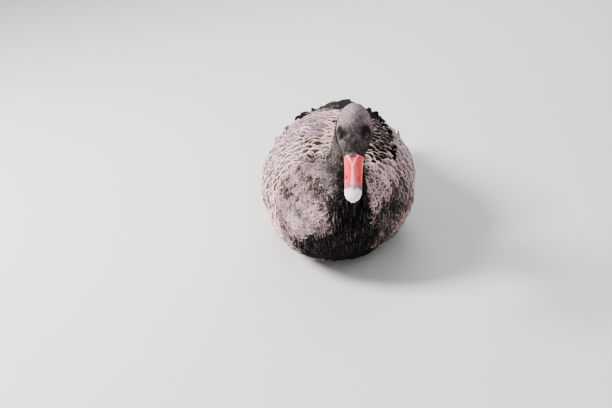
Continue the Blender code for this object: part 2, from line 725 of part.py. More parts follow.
def foot_outline(side, grow):
    """The webbed foot seen from above: along the toes and back through the webs between them."""
    joint = HEEL[:2] + (side * LEG_OUT, -TARSUS_LENGTH)
    heel = (FOOT_HEEL[0] + grow, FOOT_HEEL[1] + grow)
    corners = [joint + (-side * heel[0], heel[1])]
    tips = []
    for spread, share in zip(TOE_SPREAD, TOE_SHARE):
        angle = math.radians(spread)
        ahead = np.array([side * math.sin(angle), -math.cos(angle)])
        across = np.array([-ahead[1], ahead[0]]) * side
        tips.append(joint + ahead * (MIDDLE_TOE * share + grow * CLAW_ROOM))
        tips.append(across * (TOE_HALF_WIDTH + grow))
    for k in range(3):
        tip, half = tips[2 * k], tips[2 * k + 1]
        corners += [tip - half, tip + half]
        if k < 2:
            web = (tip + tips[2 * k + 2]) / 2
            corners.append(joint + (web - joint) * (WEB_SHARE + grow * 8))
    corners.append(joint + (side * heel[0], heel[1]))
    return corners


def plate(name, outline, bottom, top, material=None):
    """An upright slab of the outline, its top and bottom meeting at the outline's first corner."""
    count = len(outline)
    verts = [(*p, bottom) for p in outline] + [(*p, top) for p in outline]
    faces = [tuple(range(count)), tuple(range(count, 2 * count))]
    for j in range(count):
        k = (j + 1) % count
        faces.append((j, k, k + count, j + count))
    slab = new_object(name, verts, faces, material)
    shape = bmesh.new()
    shape.from_mesh(slab.data)
    bmesh.ops.triangulate(shape, faces=shape.faces)
    shape.to_mesh(slab.data)
    shape.free()
    return slab


def make_foot(name, side, material):
    """Three toes joined by webs, flat on the floor, ahead of the ankle."""
    foot = plate(name, foot_outline(side, 0.0), 0.0, FOOT_THICKNESS, material)
    joint = np.array([side * LEG_OUT, HEEL[1] - TARSUS_LENGTH - 0.001, 0.0])
    toes = []
    for spread, share in zip(TOE_SPREAD, TOE_SHARE):
        angle = math.radians(spread)
        ahead = np.array([side * math.sin(angle), -math.cos(angle), 0.0])
        length = MIDDLE_TOE * share
        path = [joint + ahead * length * along + (0, 0, height) for along, height, radius in TOE]
        toes.append(tube("toe", path, [radius for along, height, radius in TOE], 6))
    path = [joint + (0, back, height) for back, height, radius in KNUCKLE]
    toes.append(tube("knuckle", path, [radius for back, height, radius in KNUCKLE], 10))
    combine(foot, toes, "UNION")
    combine(foot, [floor_block()], "DIFFERENCE")
    combine(foot, [half_space(1, ankle_line())], "DIFFERENCE")
    return foot


def make_torso(material):
    torso = trunk_piece("torso", TAIL_ROOT, NECK_ROOT, TORSO_RINGS, TORSO_SIDES, material, False)
    hollows = [plate("hollow", foot_outline(side, HOLLOW_AROUND), -0.01, HOLLOW_HEIGHT) for side in (1, -1)]
    combine(torso, hollows, "DIFFERENCE")
    return torso


def main():
    clear_scene()
    plumage = finish("plumage", (0.055, 0.045, 0.043), 0.75)
    black = finish("neck_feather", (0.016, 0.014, 0.014), 0.7)
    dark = finish("eye", (0.010, 0.006, 0.005), 0.1)
    red = finish("bill_horn", (0.55, 0.035, 0.030), 0.35)
    skin = finish("leg_skin", (0.030, 0.028, 0.029), 0.6)
    make_torso(plumage)
    make_neck(black)
    make_head(black)
    make_bill(red)
    make_tail(black)
    for word, side in (("left", 1), ("right", -1)):
        eye_ball("eye_" + word, side, EYE_RADIUS, dark)
        make_wing("wing_" + word, side, plumage)
        make_leg(word, side, skin, plumage)
        make_foot("foot_" + word, side, skin)


if __name__ == "__main__":
    main()
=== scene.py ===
"""A black swan at rest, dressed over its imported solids: skin, plumage, bill, eyes and feet."""

import math
from collections import namedtuple

import bmesh
import bpy
import numpy as np
from mathutils import Matrix, Vector
from mathutils.bvhtree import BVHTree
from mathutils.kdtree import KDTree


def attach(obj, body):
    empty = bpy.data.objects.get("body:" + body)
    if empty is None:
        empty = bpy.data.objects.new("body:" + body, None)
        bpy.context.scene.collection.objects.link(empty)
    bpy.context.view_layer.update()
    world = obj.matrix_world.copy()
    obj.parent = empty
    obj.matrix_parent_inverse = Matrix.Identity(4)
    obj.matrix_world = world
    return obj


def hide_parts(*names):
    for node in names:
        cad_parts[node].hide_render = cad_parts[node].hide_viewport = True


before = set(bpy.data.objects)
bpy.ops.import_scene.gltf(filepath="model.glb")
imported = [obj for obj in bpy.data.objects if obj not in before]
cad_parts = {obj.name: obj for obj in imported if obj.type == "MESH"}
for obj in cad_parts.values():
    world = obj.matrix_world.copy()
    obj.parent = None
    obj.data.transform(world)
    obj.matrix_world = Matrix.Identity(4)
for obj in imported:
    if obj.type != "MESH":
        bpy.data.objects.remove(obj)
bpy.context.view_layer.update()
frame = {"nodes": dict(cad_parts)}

# The swan's own sizes, in metres, the same as in its solids.

CULMEN_HEIGHT = 0.0205
EYE_RADIUS = 0.0068
EYE_FORWARD, EYE_UP, EYE_OUT = -0.0400, 0.0165, 0.0186
EYE_RISE, EYE_AHEAD = math.radians(16), math.radians(20)
BILL_BASE = np.array([0.0540, -0.3800, 0.3090])
HEAD_PITCH, HEAD_YAW = math.radians(47.5), math.radians(4.5)

# Body and neck from tail to head: back (y, z), belly (y, z), half width, level, lean.
TRUNK = np.array([
    (0.345, 0.137, 0.345, 0.124, 0.050, 0.50, 0.000),
    (0.290, 0.147, 0.290, 0.119, 0.048, 0.50, 0.000),
    (0.240, 0.161, 0.235, 0.106, 0.052, 0.52, 0.000),
    (0.200, 0.177, 0.192, 0.078, 0.073, 0.52, 0.000),
    (0.150, 0.200, 0.143, 0.043, 0.098, 0.48, 0.000),
    (0.088, 0.221, 0.088, 0.013, 0.124, 0.45, 0.000),
    (0.020, 0.232, 0.023, -0.004, 0.144, 0.43, 0.000),
    (-0.050, 0.233, -0.045, -0.007, 0.147, 0.42, 0.000),
    (-0.100, 0.225, -0.112, -0.003, 0.136, 0.42, 0.000),
    (-0.132, 0.215, -0.172, 0.010, 0.119, 0.44, 0.000),
    (-0.150, 0.209, -0.222, 0.034, 0.101, 0.47, 0.001),
    (-0.159, 0.208, -0.260, 0.072, 0.083, 0.49, 0.003),
    (-0.162, 0.211, -0.279, 0.112, 0.066, 0.50, 0.008),
    (-0.161, 0.216, -0.274, 0.152, 0.051, 0.50, 0.016),
    (-0.157, 0.226, -0.251, 0.187, 0.040, 0.50, 0.024),
    (-0.154, 0.244, -0.228, 0.217, 0.033, 0.50, 0.030),
    (-0.153, 0.267, -0.212, 0.246, 0.0285, 0.50, 0.035),
    (-0.160, 0.292, -0.207, 0.269, 0.0262, 0.50, 0.039),
    (-0.180, 0.314, -0.216, 0.285, 0.0250, 0.50, 0.043),
    (-0.209, 0.330, -0.233, 0.295, 0.0245, 0.50, 0.047),
    (-0.241, 0.342, -0.256, 0.301, 0.0244, 0.50, 0.050),
    (-0.272, 0.355, -0.283, 0.305, 0.0256, 0.50, 0.053),
    (-0.300, 0.368, -0.309, 0.309, 0.0275, 0.50, 0.056),
])
BELLY_SQUARE = 0.86
TAIL_BASE_END, INSIDE_HEAD = 0.9, 22.0
NECK_AT = 14.0

# The head from the nape to the bill: forward, half width, top, bottom, level.
HEAD = np.array([
    (-0.1005, 0.0040, 0.0120, 0.0040, 0.50),
    (-0.0975, 0.0120, 0.0190, -0.0040, 0.48),
    (-0.0905, 0.0205, 0.0265, -0.0120, 0.44),
    (-0.0770, 0.0276, 0.0330, -0.0190, 0.40),
    (-0.0630, 0.0305, 0.0356, -0.0220, 0.38),
    (-0.0510, 0.0303, 0.0352, -0.0222, 0.36),
    (-0.0400, 0.0284, 0.0328, -0.0208, 0.36),
    (-0.0300, 0.0250, 0.0300, -0.0188, 0.37),
    (-0.0195, 0.0212, 0.0268, -0.0165, 0.38),
    (-0.0090, 0.0184, 0.0232, -0.0140, 0.40),
    (0.0000, 0.0166, 0.0209, -0.0120, 0.40),
])
HEAD_DOME = 1.18

# The bill: forward, half width, ridge, edge; and forward, half width, edge, keel.
UPPER_BILL = np.array([
    (0.0000, 0.0161, 0.0205, 0.0000),
    (0.0120, 0.0152, 0.0168, -0.0006),
    (0.0260, 0.0147, 0.0124, -0.0010),
    (0.0400, 0.0146, 0.0088, -0.0012),
    (0.0520, 0.0145, 0.0070, -0.0014),
    (0.0600, 0.0131, 0.0060, -0.0018),
    (0.0655, 0.0098, 0.0042, -0.0026),
    (0.0690, 0.0042, 0.0004, -0.0036),
])
LOWER_BILL = np.array([
    (0.0000, 0.0138, -0.0004, -0.0112),
    (0.0130, 0.0134, -0.0010, -0.0092),
    (0.0300, 0.0130, -0.0014, -0.0072),
    (0.0450, 0.0130, -0.0016, -0.0062),
    (0.0560, 0.0112, -0.0020, -0.0056),
    (0.0625, 0.0060, -0.0032, -0.0048),
])
NOSTRIL_FORWARD, NOSTRIL_OUT, NOSTRIL_LENGTH = 0.031, 0.0098, 0.0105
# How far the bill's bare skin runs back beside the forehead.
BILL_SKIN = 0.0060

# The folded wing from shoulder to tip: trunk row, lower and upper angle, thickness.
WING = np.array([
    (11.3, 30.0, 52.0, 0.0040),
    (10.6, 19.0, 66.0, 0.0080),
    (9.4, 8.0, 75.0, 0.0110),
    (8.0, 1.0, 81.0, 0.0130),
    (6.4, -3.0, 84.0, 0.0140),
    (4.9, 0.0, 85.0, 0.0140),
    (3.7, 12.0, 84.0, 0.0120),
    (3.0, 28.0, 78.0, 0.0080),
    (2.6, 44.0, 68.0, 0.0040),
])
ARM_SHARE = 0.60
SIDES = (("left", 1), ("right", -1))
# The trunk row where the wing's own rows of feathers begin.
WING_FRONT = 9.35


def rows_at(rows, at):
    """The smooth curve through a table's rows, read at many places at once."""
    at = np.clip(np.asarray(at, float), 0, len(rows) - 1)
    i = np.minimum(at.astype(int), len(rows) - 2)
    t = (at - i)[..., None]
    before, here, after, beyond = (rows[np.clip(i + k, 0, len(rows) - 1)] for k in (-1, 0, 1, 2))
    line = 2 * here + (after - before) * t
    bend = (2 * before - 5 * here + 4 * after - beyond) * t ** 2
    return 0.5 * (line + bend + (3 * here - before - 3 * after + beyond) * t ** 3)


def unit(vectors):
    """The same ways, each of length 1."""
    return vectors / np.maximum(np.linalg.norm(vectors, axis=-1, keepdims=True), 1e-12)


def ease(x, low, high):
    """From 0 at low to 1 at high, smoothly."""
    t = np.clip((np.asarray(x, float) - low) / (high - low), 0, 1)
    return t * t * (3 - 2 * t)


def spow(x, power):
    """A power that keeps the sign of x."""
    return np.sign(x) * np.abs(x) ** power


def bell(*ratios):
    """1 where all the ratios are 0, and less the farther off they are."""
    return np.exp(-sum(ratio ** 2 for ratio in ratios))


def circle(count):
    """Angles spread evenly round one turn."""
    return np.linspace(0, 2 * math.pi, count, endpoint=False)


def pairs(rows, turns):
    """Each row with each turn, as two flat lists."""
    rows, turns = np.meshgrid(rows, turns, indexing="ij")
    return rows.ravel(), turns.ravel()


def arc_lengths(line):
    """How far along a line each of its points lies."""
    return np.concatenate([[0], np.cumsum(np.linalg.norm(np.diff(line, axis=0), axis=1))])


def tree_of(points):
    """A tree in which the nearest of the points are found."""
    tree = KDTree(len(points))
    for i, point in enumerate(points):
        tree.insert(point, i)
    tree.balance()
    return tree


def trunk(at, angle, grow=0.0):
    """Points of the body and neck, grown outwards or shrunk."""
    at, angle = np.broadcast_arrays(np.asarray(at, float), np.asarray(angle, float))
    back_y, back_z, belly_y, belly_z, width, level, lean = np.moveaxis(rows_at(TRUNK, at), -1, 0)
    back, belly = np.stack([back_y, back_z], -1), np.stack([belly_y, belly_z], -1)
    height = np.linalg.norm(back - belly, axis=-1)
    axis = (back - belly) / height[..., None]
    middle = belly + axis * (height * level)[..., None]
    c, s = np.cos(angle), np.sin(angle)
    square = np.where(s > 0, 1.0, BELLY_SQUARE)
    reach = height * np.where(s > 0, 1 - level, level)
    x = lean + (width + grow) * spow(c, square)
    yz = middle + axis * ((reach + grow) * spow(s, square))[..., None]
    return np.stack([x, yz[..., 0], yz[..., 1]], -1)


def arm(at, angle):
    """How far the folded wing's arm bulges out of the body."""
    turned = np.arcsin(np.clip(np.sin(angle), -1, 1))
    low, high, thick = (np.interp(at, WING[::-1, 0], WING[::-1, k]) for k in (1, 2, 3))
    v = (np.degrees(turned) - low) / (high - low)
    inside = ease(v, -0.02, 0.10) * ease(1 - v, -0.02, 0.10) * ease(at, 2.5, 3.2) * (1 - ease(at, 10.9, 11.4))
    return inside * (0.001 + ARM_SHARE * thick * np.clip(1 - np.abs(2 * v - 1) ** 3, 0, 1)), v, inside


def head_axes():
    """The head's own left, forward and up."""
    cp, sp = math.cos(HEAD_PITCH), math.sin(HEAD_PITCH)
    cy, sy = math.cos(HEAD_YAW), math.sin(HEAD_YAW)
    return np.array([[cy, -sy, 0.0], [-sy * cp, -cy * cp, -sp], [-sy * sp, -cy * sp, cp]])


HEAD_AXES = head_axes()
MOUTH = BILL_BASE - HEAD_AXES[2] * CULMEN_HEIGHT


def in_head(points):
    """Points given as left, forward and up from the mouth, in the swan's own frame."""
    return MOUTH + np.asarray(points, float) @ HEAD_AXES


def from_head(points):
    """The other way round: left, forward and up from the mouth."""
    return (np.asarray(points, float) - MOUTH) @ HEAD_AXES.T


def eye_look(side):
    """Where an eyeball's middle lies in the head, and which way it looks."""
    level = math.cos(EYE_RISE)
    look = np.array([side * level * math.cos(EYE_AHEAD), level * math.sin(EYE_AHEAD), math.sin(EYE_RISE)])
    return np.array([side * EYE_OUT, EYE_FORWARD, EYE_UP]), look


# Hollows and swellings of the face: out, forward, up, reach and height.
FACE = (
    (0.0235, -0.0400, 0.0150, 0.0075, -0.0008),
    (0.0185, -0.0430, 0.0270, 0.0090, 0.0013),
    (0.0190, -0.0200, 0.0100, 0.0085, -0.0016),
    (0.0230, -0.0230, -0.0060, 0.0110, 0.0014),
    (0.0270, -0.0560, -0.0030, 0.0150, 0.0010),
    (0.0000, -0.0260, 0.0300, 0.0100, -0.0009),
)


def head(at, angle, grow=0.0):
    """Points of the head, with its brow, eye sockets, lores and cheeks."""
    at, angle = np.broadcast_arrays(np.asarray(at, float), np.asarray(angle, float))
    forward, width, top, bottom, level = np.moveaxis(rows_at(HEAD, at), -1, 0)
    middle = bottom + (top - bottom) * level
    c, s = np.cos(angle), np.sin(angle)
    reach = np.where(s > 0, top - middle, middle - bottom)
    aside = (width + grow) * spow(c, np.where(s > 0, HEAD_DOME, 1.0))
    local = np.stack([aside, forward, middle + (reach + grow) * s], -1)
    out = unit(np.stack([c / np.maximum(width, 1e-4), 0 * c, s / np.maximum(reach, 1e-4)], -1))
    relief = 0
    for x, y, z, size, height in FACE:
        for side in ((1, -1) if x else (1,)):
            away = np.linalg.norm(local - (side * x, y, z), axis=-1)
            relief = relief + height * bell(away / size)
    return in_head(local + out * np.asarray(relief)[..., None])


# Meshes.

def mesh_object(name, verts, faces, smooth=True):
    """An object of the points and faces, each face of three or four corners."""
    verts, faces = np.asarray(verts, np.float32), np.asarray(faces, np.int32)
    mesh = bpy.data.meshes.new(name)
    mesh.vertices.add(len(verts))
    mesh.vertices.foreach_set("co", verts.ravel())
    mesh.loops.add(faces.size)
    mesh.loops.foreach_set("vertex_index", faces.ravel())
    mesh.polygons.add(len(faces))
    mesh.polygons.foreach_set("loop_start", np.arange(0, faces.size, faces.shape[1], dtype=np.int32))
    mesh.update(calc_edges=True)
    mesh.validate()
    mesh.polygons.foreach_set("use_smooth", np.full(len(mesh.polygons), smooth))
    obj = bpy.data.objects.new(name, mesh)
    bpy.context.scene.collection.objects.link(obj)
    return obj


def grid_faces(rows, columns, closed):
    """The quads of a grid of points, closed round its columns or not."""
    last = columns if closed else columns - 1
    i, j = np.meshgrid(np.arange(rows - 1), np.arange(last), indexing="ij")
    i, j = i.ravel(), j.ravel()
    k = (j + 1) % columns
    return np.stack([i * columns + j, i * columns + k, (i + 1) * columns + k, (i + 1) * columns + j], 1)


def drawn_in(ring):
    """A ring shrunk almost to its middle, which closes the end of a loft."""
    middle = ring.mean(1, keepdims=True)
    return middle + (ring - middle) * 0.02


def loft(name, rings, caps=True):
    """A body through rings of points, its ends drawn in to their middles."""
    rings = np.asarray(rings, float)
    if caps:
        rings = np.concatenate([drawn_in(rings[:1]), rings, drawn_in(rings[-1:])])
    rows, columns = rings.shape[:2]
    obj = mesh_object(name, rings.reshape(-1, 3), grid_faces(rows, columns, True))
    mend_normals(obj)
    return obj


def mend_normals(obj):
    """Closes what is open and turns all faces outwards."""
    shape = bmesh.new()
    shape.from_mesh(obj.data)
    if any(edge.is_boundary for edge in shape.edges):
        bmesh.ops.holes_fill(shape, edges=[e for e in shape.edges if e.is_boundary], sides=0)
    bmesh.ops.recalc_face_normals(shape, faces=shape.faces)
    shape.to_mesh(obj.data)
    shape.free()


def corners_of(obj):
    """The points of a mesh."""
    points = np.empty(len(obj.data.vertices) * 3, np.float32)
    obj.data.vertices.foreach_get("co", points)
    return points.reshape(-1, 3).astype(float)


def attribute(obj, name, values):
    """A number or three numbers kept at each point of a mesh, for its finish."""
    values = np.asarray(values, np.float32)
    kind, field = ("FLOAT", "value") if values.ndim == 1 else ("FLOAT_VECTOR", "vector")
    made = obj.data.attributes.new(name, kind, "POINT")
    made.data.foreach_set(field, values.ravel())


def apply_modifiers(obj):
    """Makes what an object's modifiers show its own mesh."""
    graph = bpy.context.evaluated_depsgraph_get()
    made = bpy.data.meshes.new_from_object(obj.evaluated_get(graph))
    obj.modifiers.clear()
    obj.data = made


def remesh(obj, voxel, rounds):
    """Makes one even surface of an object and softens it."""
    again = obj.modifiers.new("one", "REMESH")
    again.mode, again.voxel_size = "VOXEL", voxel
    soften = obj.modifiers.new("soft", "SMOOTH")
    soften.factor, soften.iterations = 0.5, rounds
    apply_modifiers(obj)


def join(name, pieces):
    """One object of several pieces, which are used up."""
    chosen = {"active_object": pieces[0], "selected_editable_objects": pieces, "selected_objects": pieces}
    with bpy.context.temp_override(**chosen):
        bpy.ops.object.join()
    pieces[0].name = name
    return pieces[0]


def smooth_by(obj, degrees):
    """Smooth shading, but for edges sharper than the given angle."""
    obj.data.shade_smooth()
    obj.data.set_sharp_from_angle(angle=math.radians(degrees))


def keep(piece, *nodes, finish, slot):
    """Hands a piece over to the swan's frame with its finish."""
    piece.data.materials.clear()
    piece.data.materials.append(finish)
    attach(piece, "root")
    if nodes:
        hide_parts(*nodes)
    return piece


# The skin under the plumage.

# How deep the small feathers lie over it: along the trunk's rows, and on the head.
DEPTH_ROWS = (0.85, 0.9, 2.0, 4.0, 9.0, 12.0, 15.0, 18.0, 22.0)
DEPTHS = (0.0025, 0.004, 0.005, 0.007, 0.007, 0.006, 0.0036, 0.0026, 0.0022)
HEAD_COAT = 0.0013
# The lowest the skin reaches over the floor, and how fine its one surface is.
FLOOR_SKIN, SKIN_VOXEL = 0.0030, 0.0030

# The shin from heel to belly: out, back, up and radius; and about how far apart these rows are.
SHIN = np.array([
    (0.0740, 0.174, 0.0138, 0.0055),
    (0.0758, 0.154, 0.0348, 0.0090),
    (0.0779, 0.129, 0.0590, 0.0170),
    (0.0800, 0.106, 0.0840, 0.0240),
])
SHIN_STEP = 0.034

# How the neck runs out under the cheeks: how far ahead of its last row, and its share of it.
THROAT = ((0.005, 0.97), (0.010, 0.92), (0.016, 0.84), (0.022, 0.73), (0.028, 0.58), (0.034, 0.36))

# The nape, where neck and head merge: its middle in the head, and from where to where it softens.
NAPE, NAPE_SOFT = (0.0, -0.085, -0.008), (0.032, 0.052)

# Soft swellings of the body under the plumage: middle, reach and height.
SWELLINGS = (
    ((-0.078, -0.212, 0.118), 0.072, 0.0055),
    ((0.098, -0.190, 0.118), 0.070, 0.0050),
    ((-0.040, -0.172, 0.190), 0.034, 0.0035),
    ((-0.030, -0.010, 0.235), 0.050, 0.0030),
    ((0.070, -0.060, 0.215), 0.055, 0.0030),
    ((0.152, -0.050, 0.125), 0.110, 0.0045),
    ((-0.152, -0.040, 0.120), 0.100, 0.0025),
)


def coat_depth(at):
    """How deep the small feathers lie over the skin of the trunk."""
    return np.interp(at, DEPTH_ROWS, DEPTHS)


def swelling(points):
    """How much the body swells at each point, with a long unevenness of the flanks."""
    x, y, z = np.moveaxis(points, -1, 0)
    across = np.sin(x * 61 + y * 37) * np.sin(y * 71 - z * 43 + 1.0)
    height = 0.0011 * (across + np.sin(z * 83 + x * 29 + 2.0) * np.sin(y * 49))
    for middle, reach, much in SWELLINGS:
        away = np.linalg.norm(points - middle, axis=-1) / reach
        height = height + much * (1 - ease(away, 0.55, 1.05))
    return height


def skinned_trunk(at, angle):
    """The skin of body and neck, with the arms of the wings under it, and the way to the tail."""
    bulge = arm(at, angle)[0]
    points = trunk(at, angle, -coat_depth(at))
    step = 1e-3
    back = trunk(np.asarray(at) - step, angle) - trunk(np.asarray(at) + step, angle)
    around = trunk(at, angle + step) - trunk(at, angle - step)
    out = unit(np.cross(back, around))
    bulge = bulge + swelling(points) * (1 - ease(at, 12.5, 14.5)) * ease(at, 3.0, 5.0)
    points = points + out * bulge[..., None]
    points[..., 2] = np.maximum(points[..., 2], FLOOR_SKIN)
    return points, unit(back)


def skinned_head(at, angle):
    """The skin of the head."""
    return head(at, angle, -HEAD_COAT)


def shin(side, t, turns):
    """Points round the feathered lower leg at one place, and the way down it."""
    row = rows_at(SHIN, t)
    ahead = unit((rows_at(SHIN, min(t + 0.05, 3.0)) - rows_at(SHIN, max(t - 0.05, 0.0)))[:3])
    across = unit(np.cross(ahead, (1.0, 0.0, 0.0)))
    turns = np.asarray(turns)[:, None]
    ring = row[:3] + row[3] * (across * np.cos(turns) + np.cross(ahead, across) * np.sin(turns))
    return ring * (side, 1, 1), -ahead * (side, 1, 1)


def shin_places(side, space):
    """Points all over one shin, each with its place on the trunk's scale and the way down."""
    found = []
    for t in np.arange(0.0, 3.01, space / SHIN_STEP):
        count = int(2 * math.pi * rows_at(SHIN, t)[3] / space) + 3
        turns = (np.arange(count) + 0.5 * (len(found) % 2)) / count * 2 * math.pi
        ring, down = shin(side, t, turns)
        angle = (0.0 if side > 0 else math.pi) + 0.3 * (turns - math.pi)
        place = np.column_stack([np.full(count, 0.10 + 0.22 * t), angle, 0 * turns])
        found.append(np.hstack([ring, place, np.tile(down, (count, 1))]))
    return np.concatenate(found)


def make_skin():
    """One closed surface of body, neck, head and shins, with no seam."""
    around, turns = circle(96), circle(20)
    ats, hats = np.linspace(TAIL_BASE_END, INSIDE_HEAD, 190), np.linspace(0, len(HEAD) - 1, 60)
    rings = skinned_trunk(ats[:, None], around[None, :])[0]
    last, middle = rings[-1], rings[-1].mean(0)
    throat = [middle + HEAD_AXES[1] * ahead + (last - middle) * share for ahead, share in THROAT]
    skin = loft("skin", np.concatenate([rings, throat]))
    parts = [loft("crown", skinned_head(hats[:, None], around[None, :]))]
    for side in (1, -1):
        parts.append(loft("shin", [shin(side, t, turns)[0] for t in np.linspace(0, 3, 14)]))
    for part in parts:
        union = skin.modifiers.new("union", "BOOLEAN")
        union.operation, union.solver, union.object = "UNION", "MANIFOLD", part
        apply_modifiers(skin)
        bpy.data.objects.remove(part)
    remesh(skin, SKIN_VOXEL, 4)
    soften_nape(skin)
    skin.data.shade_smooth()
    return skin


def soften_nape(skin):
    """Melts the fold where the neck meets the back of the head."""
    nape, middle = skin.vertex_groups.new(name="nape"), in_head(NAPE)
    for vertex in skin.data.vertices:
        away = np.linalg.norm(np.asarray(vertex.co) - middle)
        if away < NAPE_SOFT[1]:
            nape.add([vertex.index], float(1 - ease(away, *NAPE_SOFT)), "REPLACE")
    merge = skin.modifiers.new("nape", "SMOOTH")
    merge.factor, merge.iterations, merge.vertex_group = 0.5, 30, "nape"
    apply_modifiers(skin)


# Which way the plumage lies, and where on the body each point of the skin is.

class Lie:
    """The skin as a surface to lay feathers on."""

    def __init__(self, skin):
        self.surface = BVHTree.FromObject(skin, bpy.context.evaluated_depsgraph_get())
        self.corners = corners_of(skin)
        at, angle = pairs(np.linspace(TAIL_BASE_END, INSIDE_HEAD - 0.1, 340), circle(130))
        points, back = skinned_trunk(at, angle)
        hat, turn = pairs(np.linspace(0.4, len(HEAD) - 1.02, 90), circle(90))
        crown = skinned_head(hat, turn)
        crown_back = unit(skinned_head(hat - 0.01, turn) - skinned_head(hat + 0.01, turn))
        legs = np.concatenate([shin_places(side, 0.0025) for side in (1, -1)])
        places = (np.stack([at, angle, 0 * at], 1), np.stack([hat, turn, 0 * hat + 1], 1), legs[:, 3:6])
        self.place = np.concatenate(places)
        self.back = np.concatenate([back, crown_back, legs[:, 6:]])
        self.tree = tree_of(np.concatenate([points, crown, legs[:, :3]]))

    def onto(self, points):
        """The nearest points of the skin, its normals there and how far off it is."""
        places, normals, far = np.empty_like(points), np.empty_like(points), np.empty(len(points))
        nearest = self.surface.find_nearest
        for i, point in enumerate(points):
            place, normal, face, distance = nearest(point)
            places[i], normals[i], far[i] = place, normal, distance
        return places, normals, far

    def where(self, points):
        """Trunk row or head row, angle, and whether it is the head; and the way to the tail."""
        find = self.tree.find
        found = np.fromiter((find(point)[1] for point in points), int, len(points))
        return self.place[found], self.back[found]


def ring_rows(surface, start, end, space, draw, jitter):
    """Places in staggered rows round the body; space gives the gaps between rows and in a row."""
    turns = np.linspace(0, 2 * math.pi, 361)
    found, at, odd = [], start, False
    while at < end:
        ring = surface(np.full(len(turns), at), turns)
        step = np.linalg.norm(surface(np.full(len(turns), at + 0.01), turns) - ring, axis=1).max() / 0.01
        between, beside = space(at)
        lengths = arc_lengths(ring)
        count = max(int(lengths[-1] / beside), 5)
        stagger = 0.5 if odd else 0.0
        along = (np.arange(count) + stagger + draw.uniform(-jitter, jitter, count)) / count * lengths[-1]
        angles = np.interp(along % lengths[-1], lengths, turns)
        found.append(np.stack([at + draw.uniform(-jitter, jitter, count) * between / step, angles], 1))
        at, odd = at + between / step, not odd
    return np.concatenate(found)


# How near two roots may come, as a share of the gaps there.
NEAREST = 0.66


def thin_out(points, backs, gaps):
    """Which places stay when those that come too near to one already kept are left out."""
    tree = tree_of(points)
    left = np.ones(len(points), bool)
    for i, (back, (between, beside)) in enumerate(zip(backs, gaps * NEAREST)):
        if left[i]:
            for other, j, far in tree.find_range(points[i], max(between, beside)):
                if j > i:
                    along = float(np.dot(np.asarray(other) - points[i], back))
                    if (along / between) ** 2 + max(far * far - along * along, 0) / beside ** 2 < 1:
                        left[j] = False
    return left


# The gaps between rows of small feathers, and between feathers in a row, along body and head.
BODY_ROWS = (0.85, 0.9, 2.0, 3.0, 5.0, 8.0, 10.0, 12.0, 13.0, 14.0, 15.0, 17.0, 20.0, 22.0)
BETWEEN = np.array((42, 58, 62, 66, 70, 68, 60, 50, 45, 39, 34, 29, 24, 21)) * 1e-4
BESIDE = np.array((45, 95, 125, 160, 190, 188, 132, 90, 74, 56, 46, 37, 30, 26)) * 1e-4
HEAD_ROWS, HEAD_GAP = (0, 4, 7, 10), (0.0022, 0.0018, 0.0015, 0.0012)
SHIN_SPACE, SHIN_GAP = 0.0042, 0.0045

# What small feathers keep clear of: the eye, the lids' corners (how far ahead of the eye's middle
# they lie, and half their length and height) and the bill's bare skin (how far out, and up to where).
EYE_FREE, CORNER_AHEAD, CORNER_SIZE = 0.0066, 0.0035, (0.0065, 0.0050)
BILL_FREE_OUT, BILL_FREE_UP = 0.0052, (-0.0015, 0.0175)
# Ahead of the face's front, none grows this near to the mouth.
MOUTH_FREE, FACE_FRONT = 0.020, 0.0005

# How far from the skin a planned root may lie: on the open skin, at the neck's end, on the nape.
ON_SKIN, NEAR_NECK_END, NEAR_NAPE = 0.0028, 0.014, 0.016
# The nape is filled in: within what reach, where how far from any root, and with what gap.
FILL_REACH, BARE, FILL_GAP = 0.062, 0.0024, 0.0034


def body_space(at):
    """The gaps between rows of feathers and in a row, at a row of the trunk."""
    return np.interp(at, BODY_ROWS, BETWEEN), np.interp(at, BODY_ROWS, BESIDE)


def head_space(at):
    """The same gaps at a row of the head."""
    gap = np.interp(at, HEAD_ROWS, HEAD_GAP)
    return gap * 0.85, gap


def clear_of_face(points):
    """Whether a small feather rooted here leaves the eyes and the bill's bare skin free."""
    local = from_head(points)
    left, forward, up = local.T
    free = (np.linalg.norm(local, axis=1) > MOUTH_FREE) | (forward < FACE_FRONT)
    for side in (1, -1):
        away = local - eye_look(side)[0]
        free &= np.linalg.norm(away, axis=1) > EYE_FREE
        at_corner = np.abs(away[:, 1] - CORNER_AHEAD) < CORNER_SIZE[0]
        at_corner &= np.abs(away[:, 2]) < CORNER_SIZE[1]
        free &= ~(at_corner & (left * side > 0))
    beside_bill = (forward > -BILL_SKIN) & (np.abs(left) > BILL_FREE_OUT)
    return free & ~(beside_bill & (up > BILL_FREE_UP[0]) & (up < BILL_FREE_UP[1]))


def under_long_feathers(place):
    """Whether a place lies under the wing's own rows, where no small feathers grow."""
    return (arm(place[:, 0], place[:, 1])[2] > 0.6) & (place[:, 0] < WING_FRONT - 0.1)


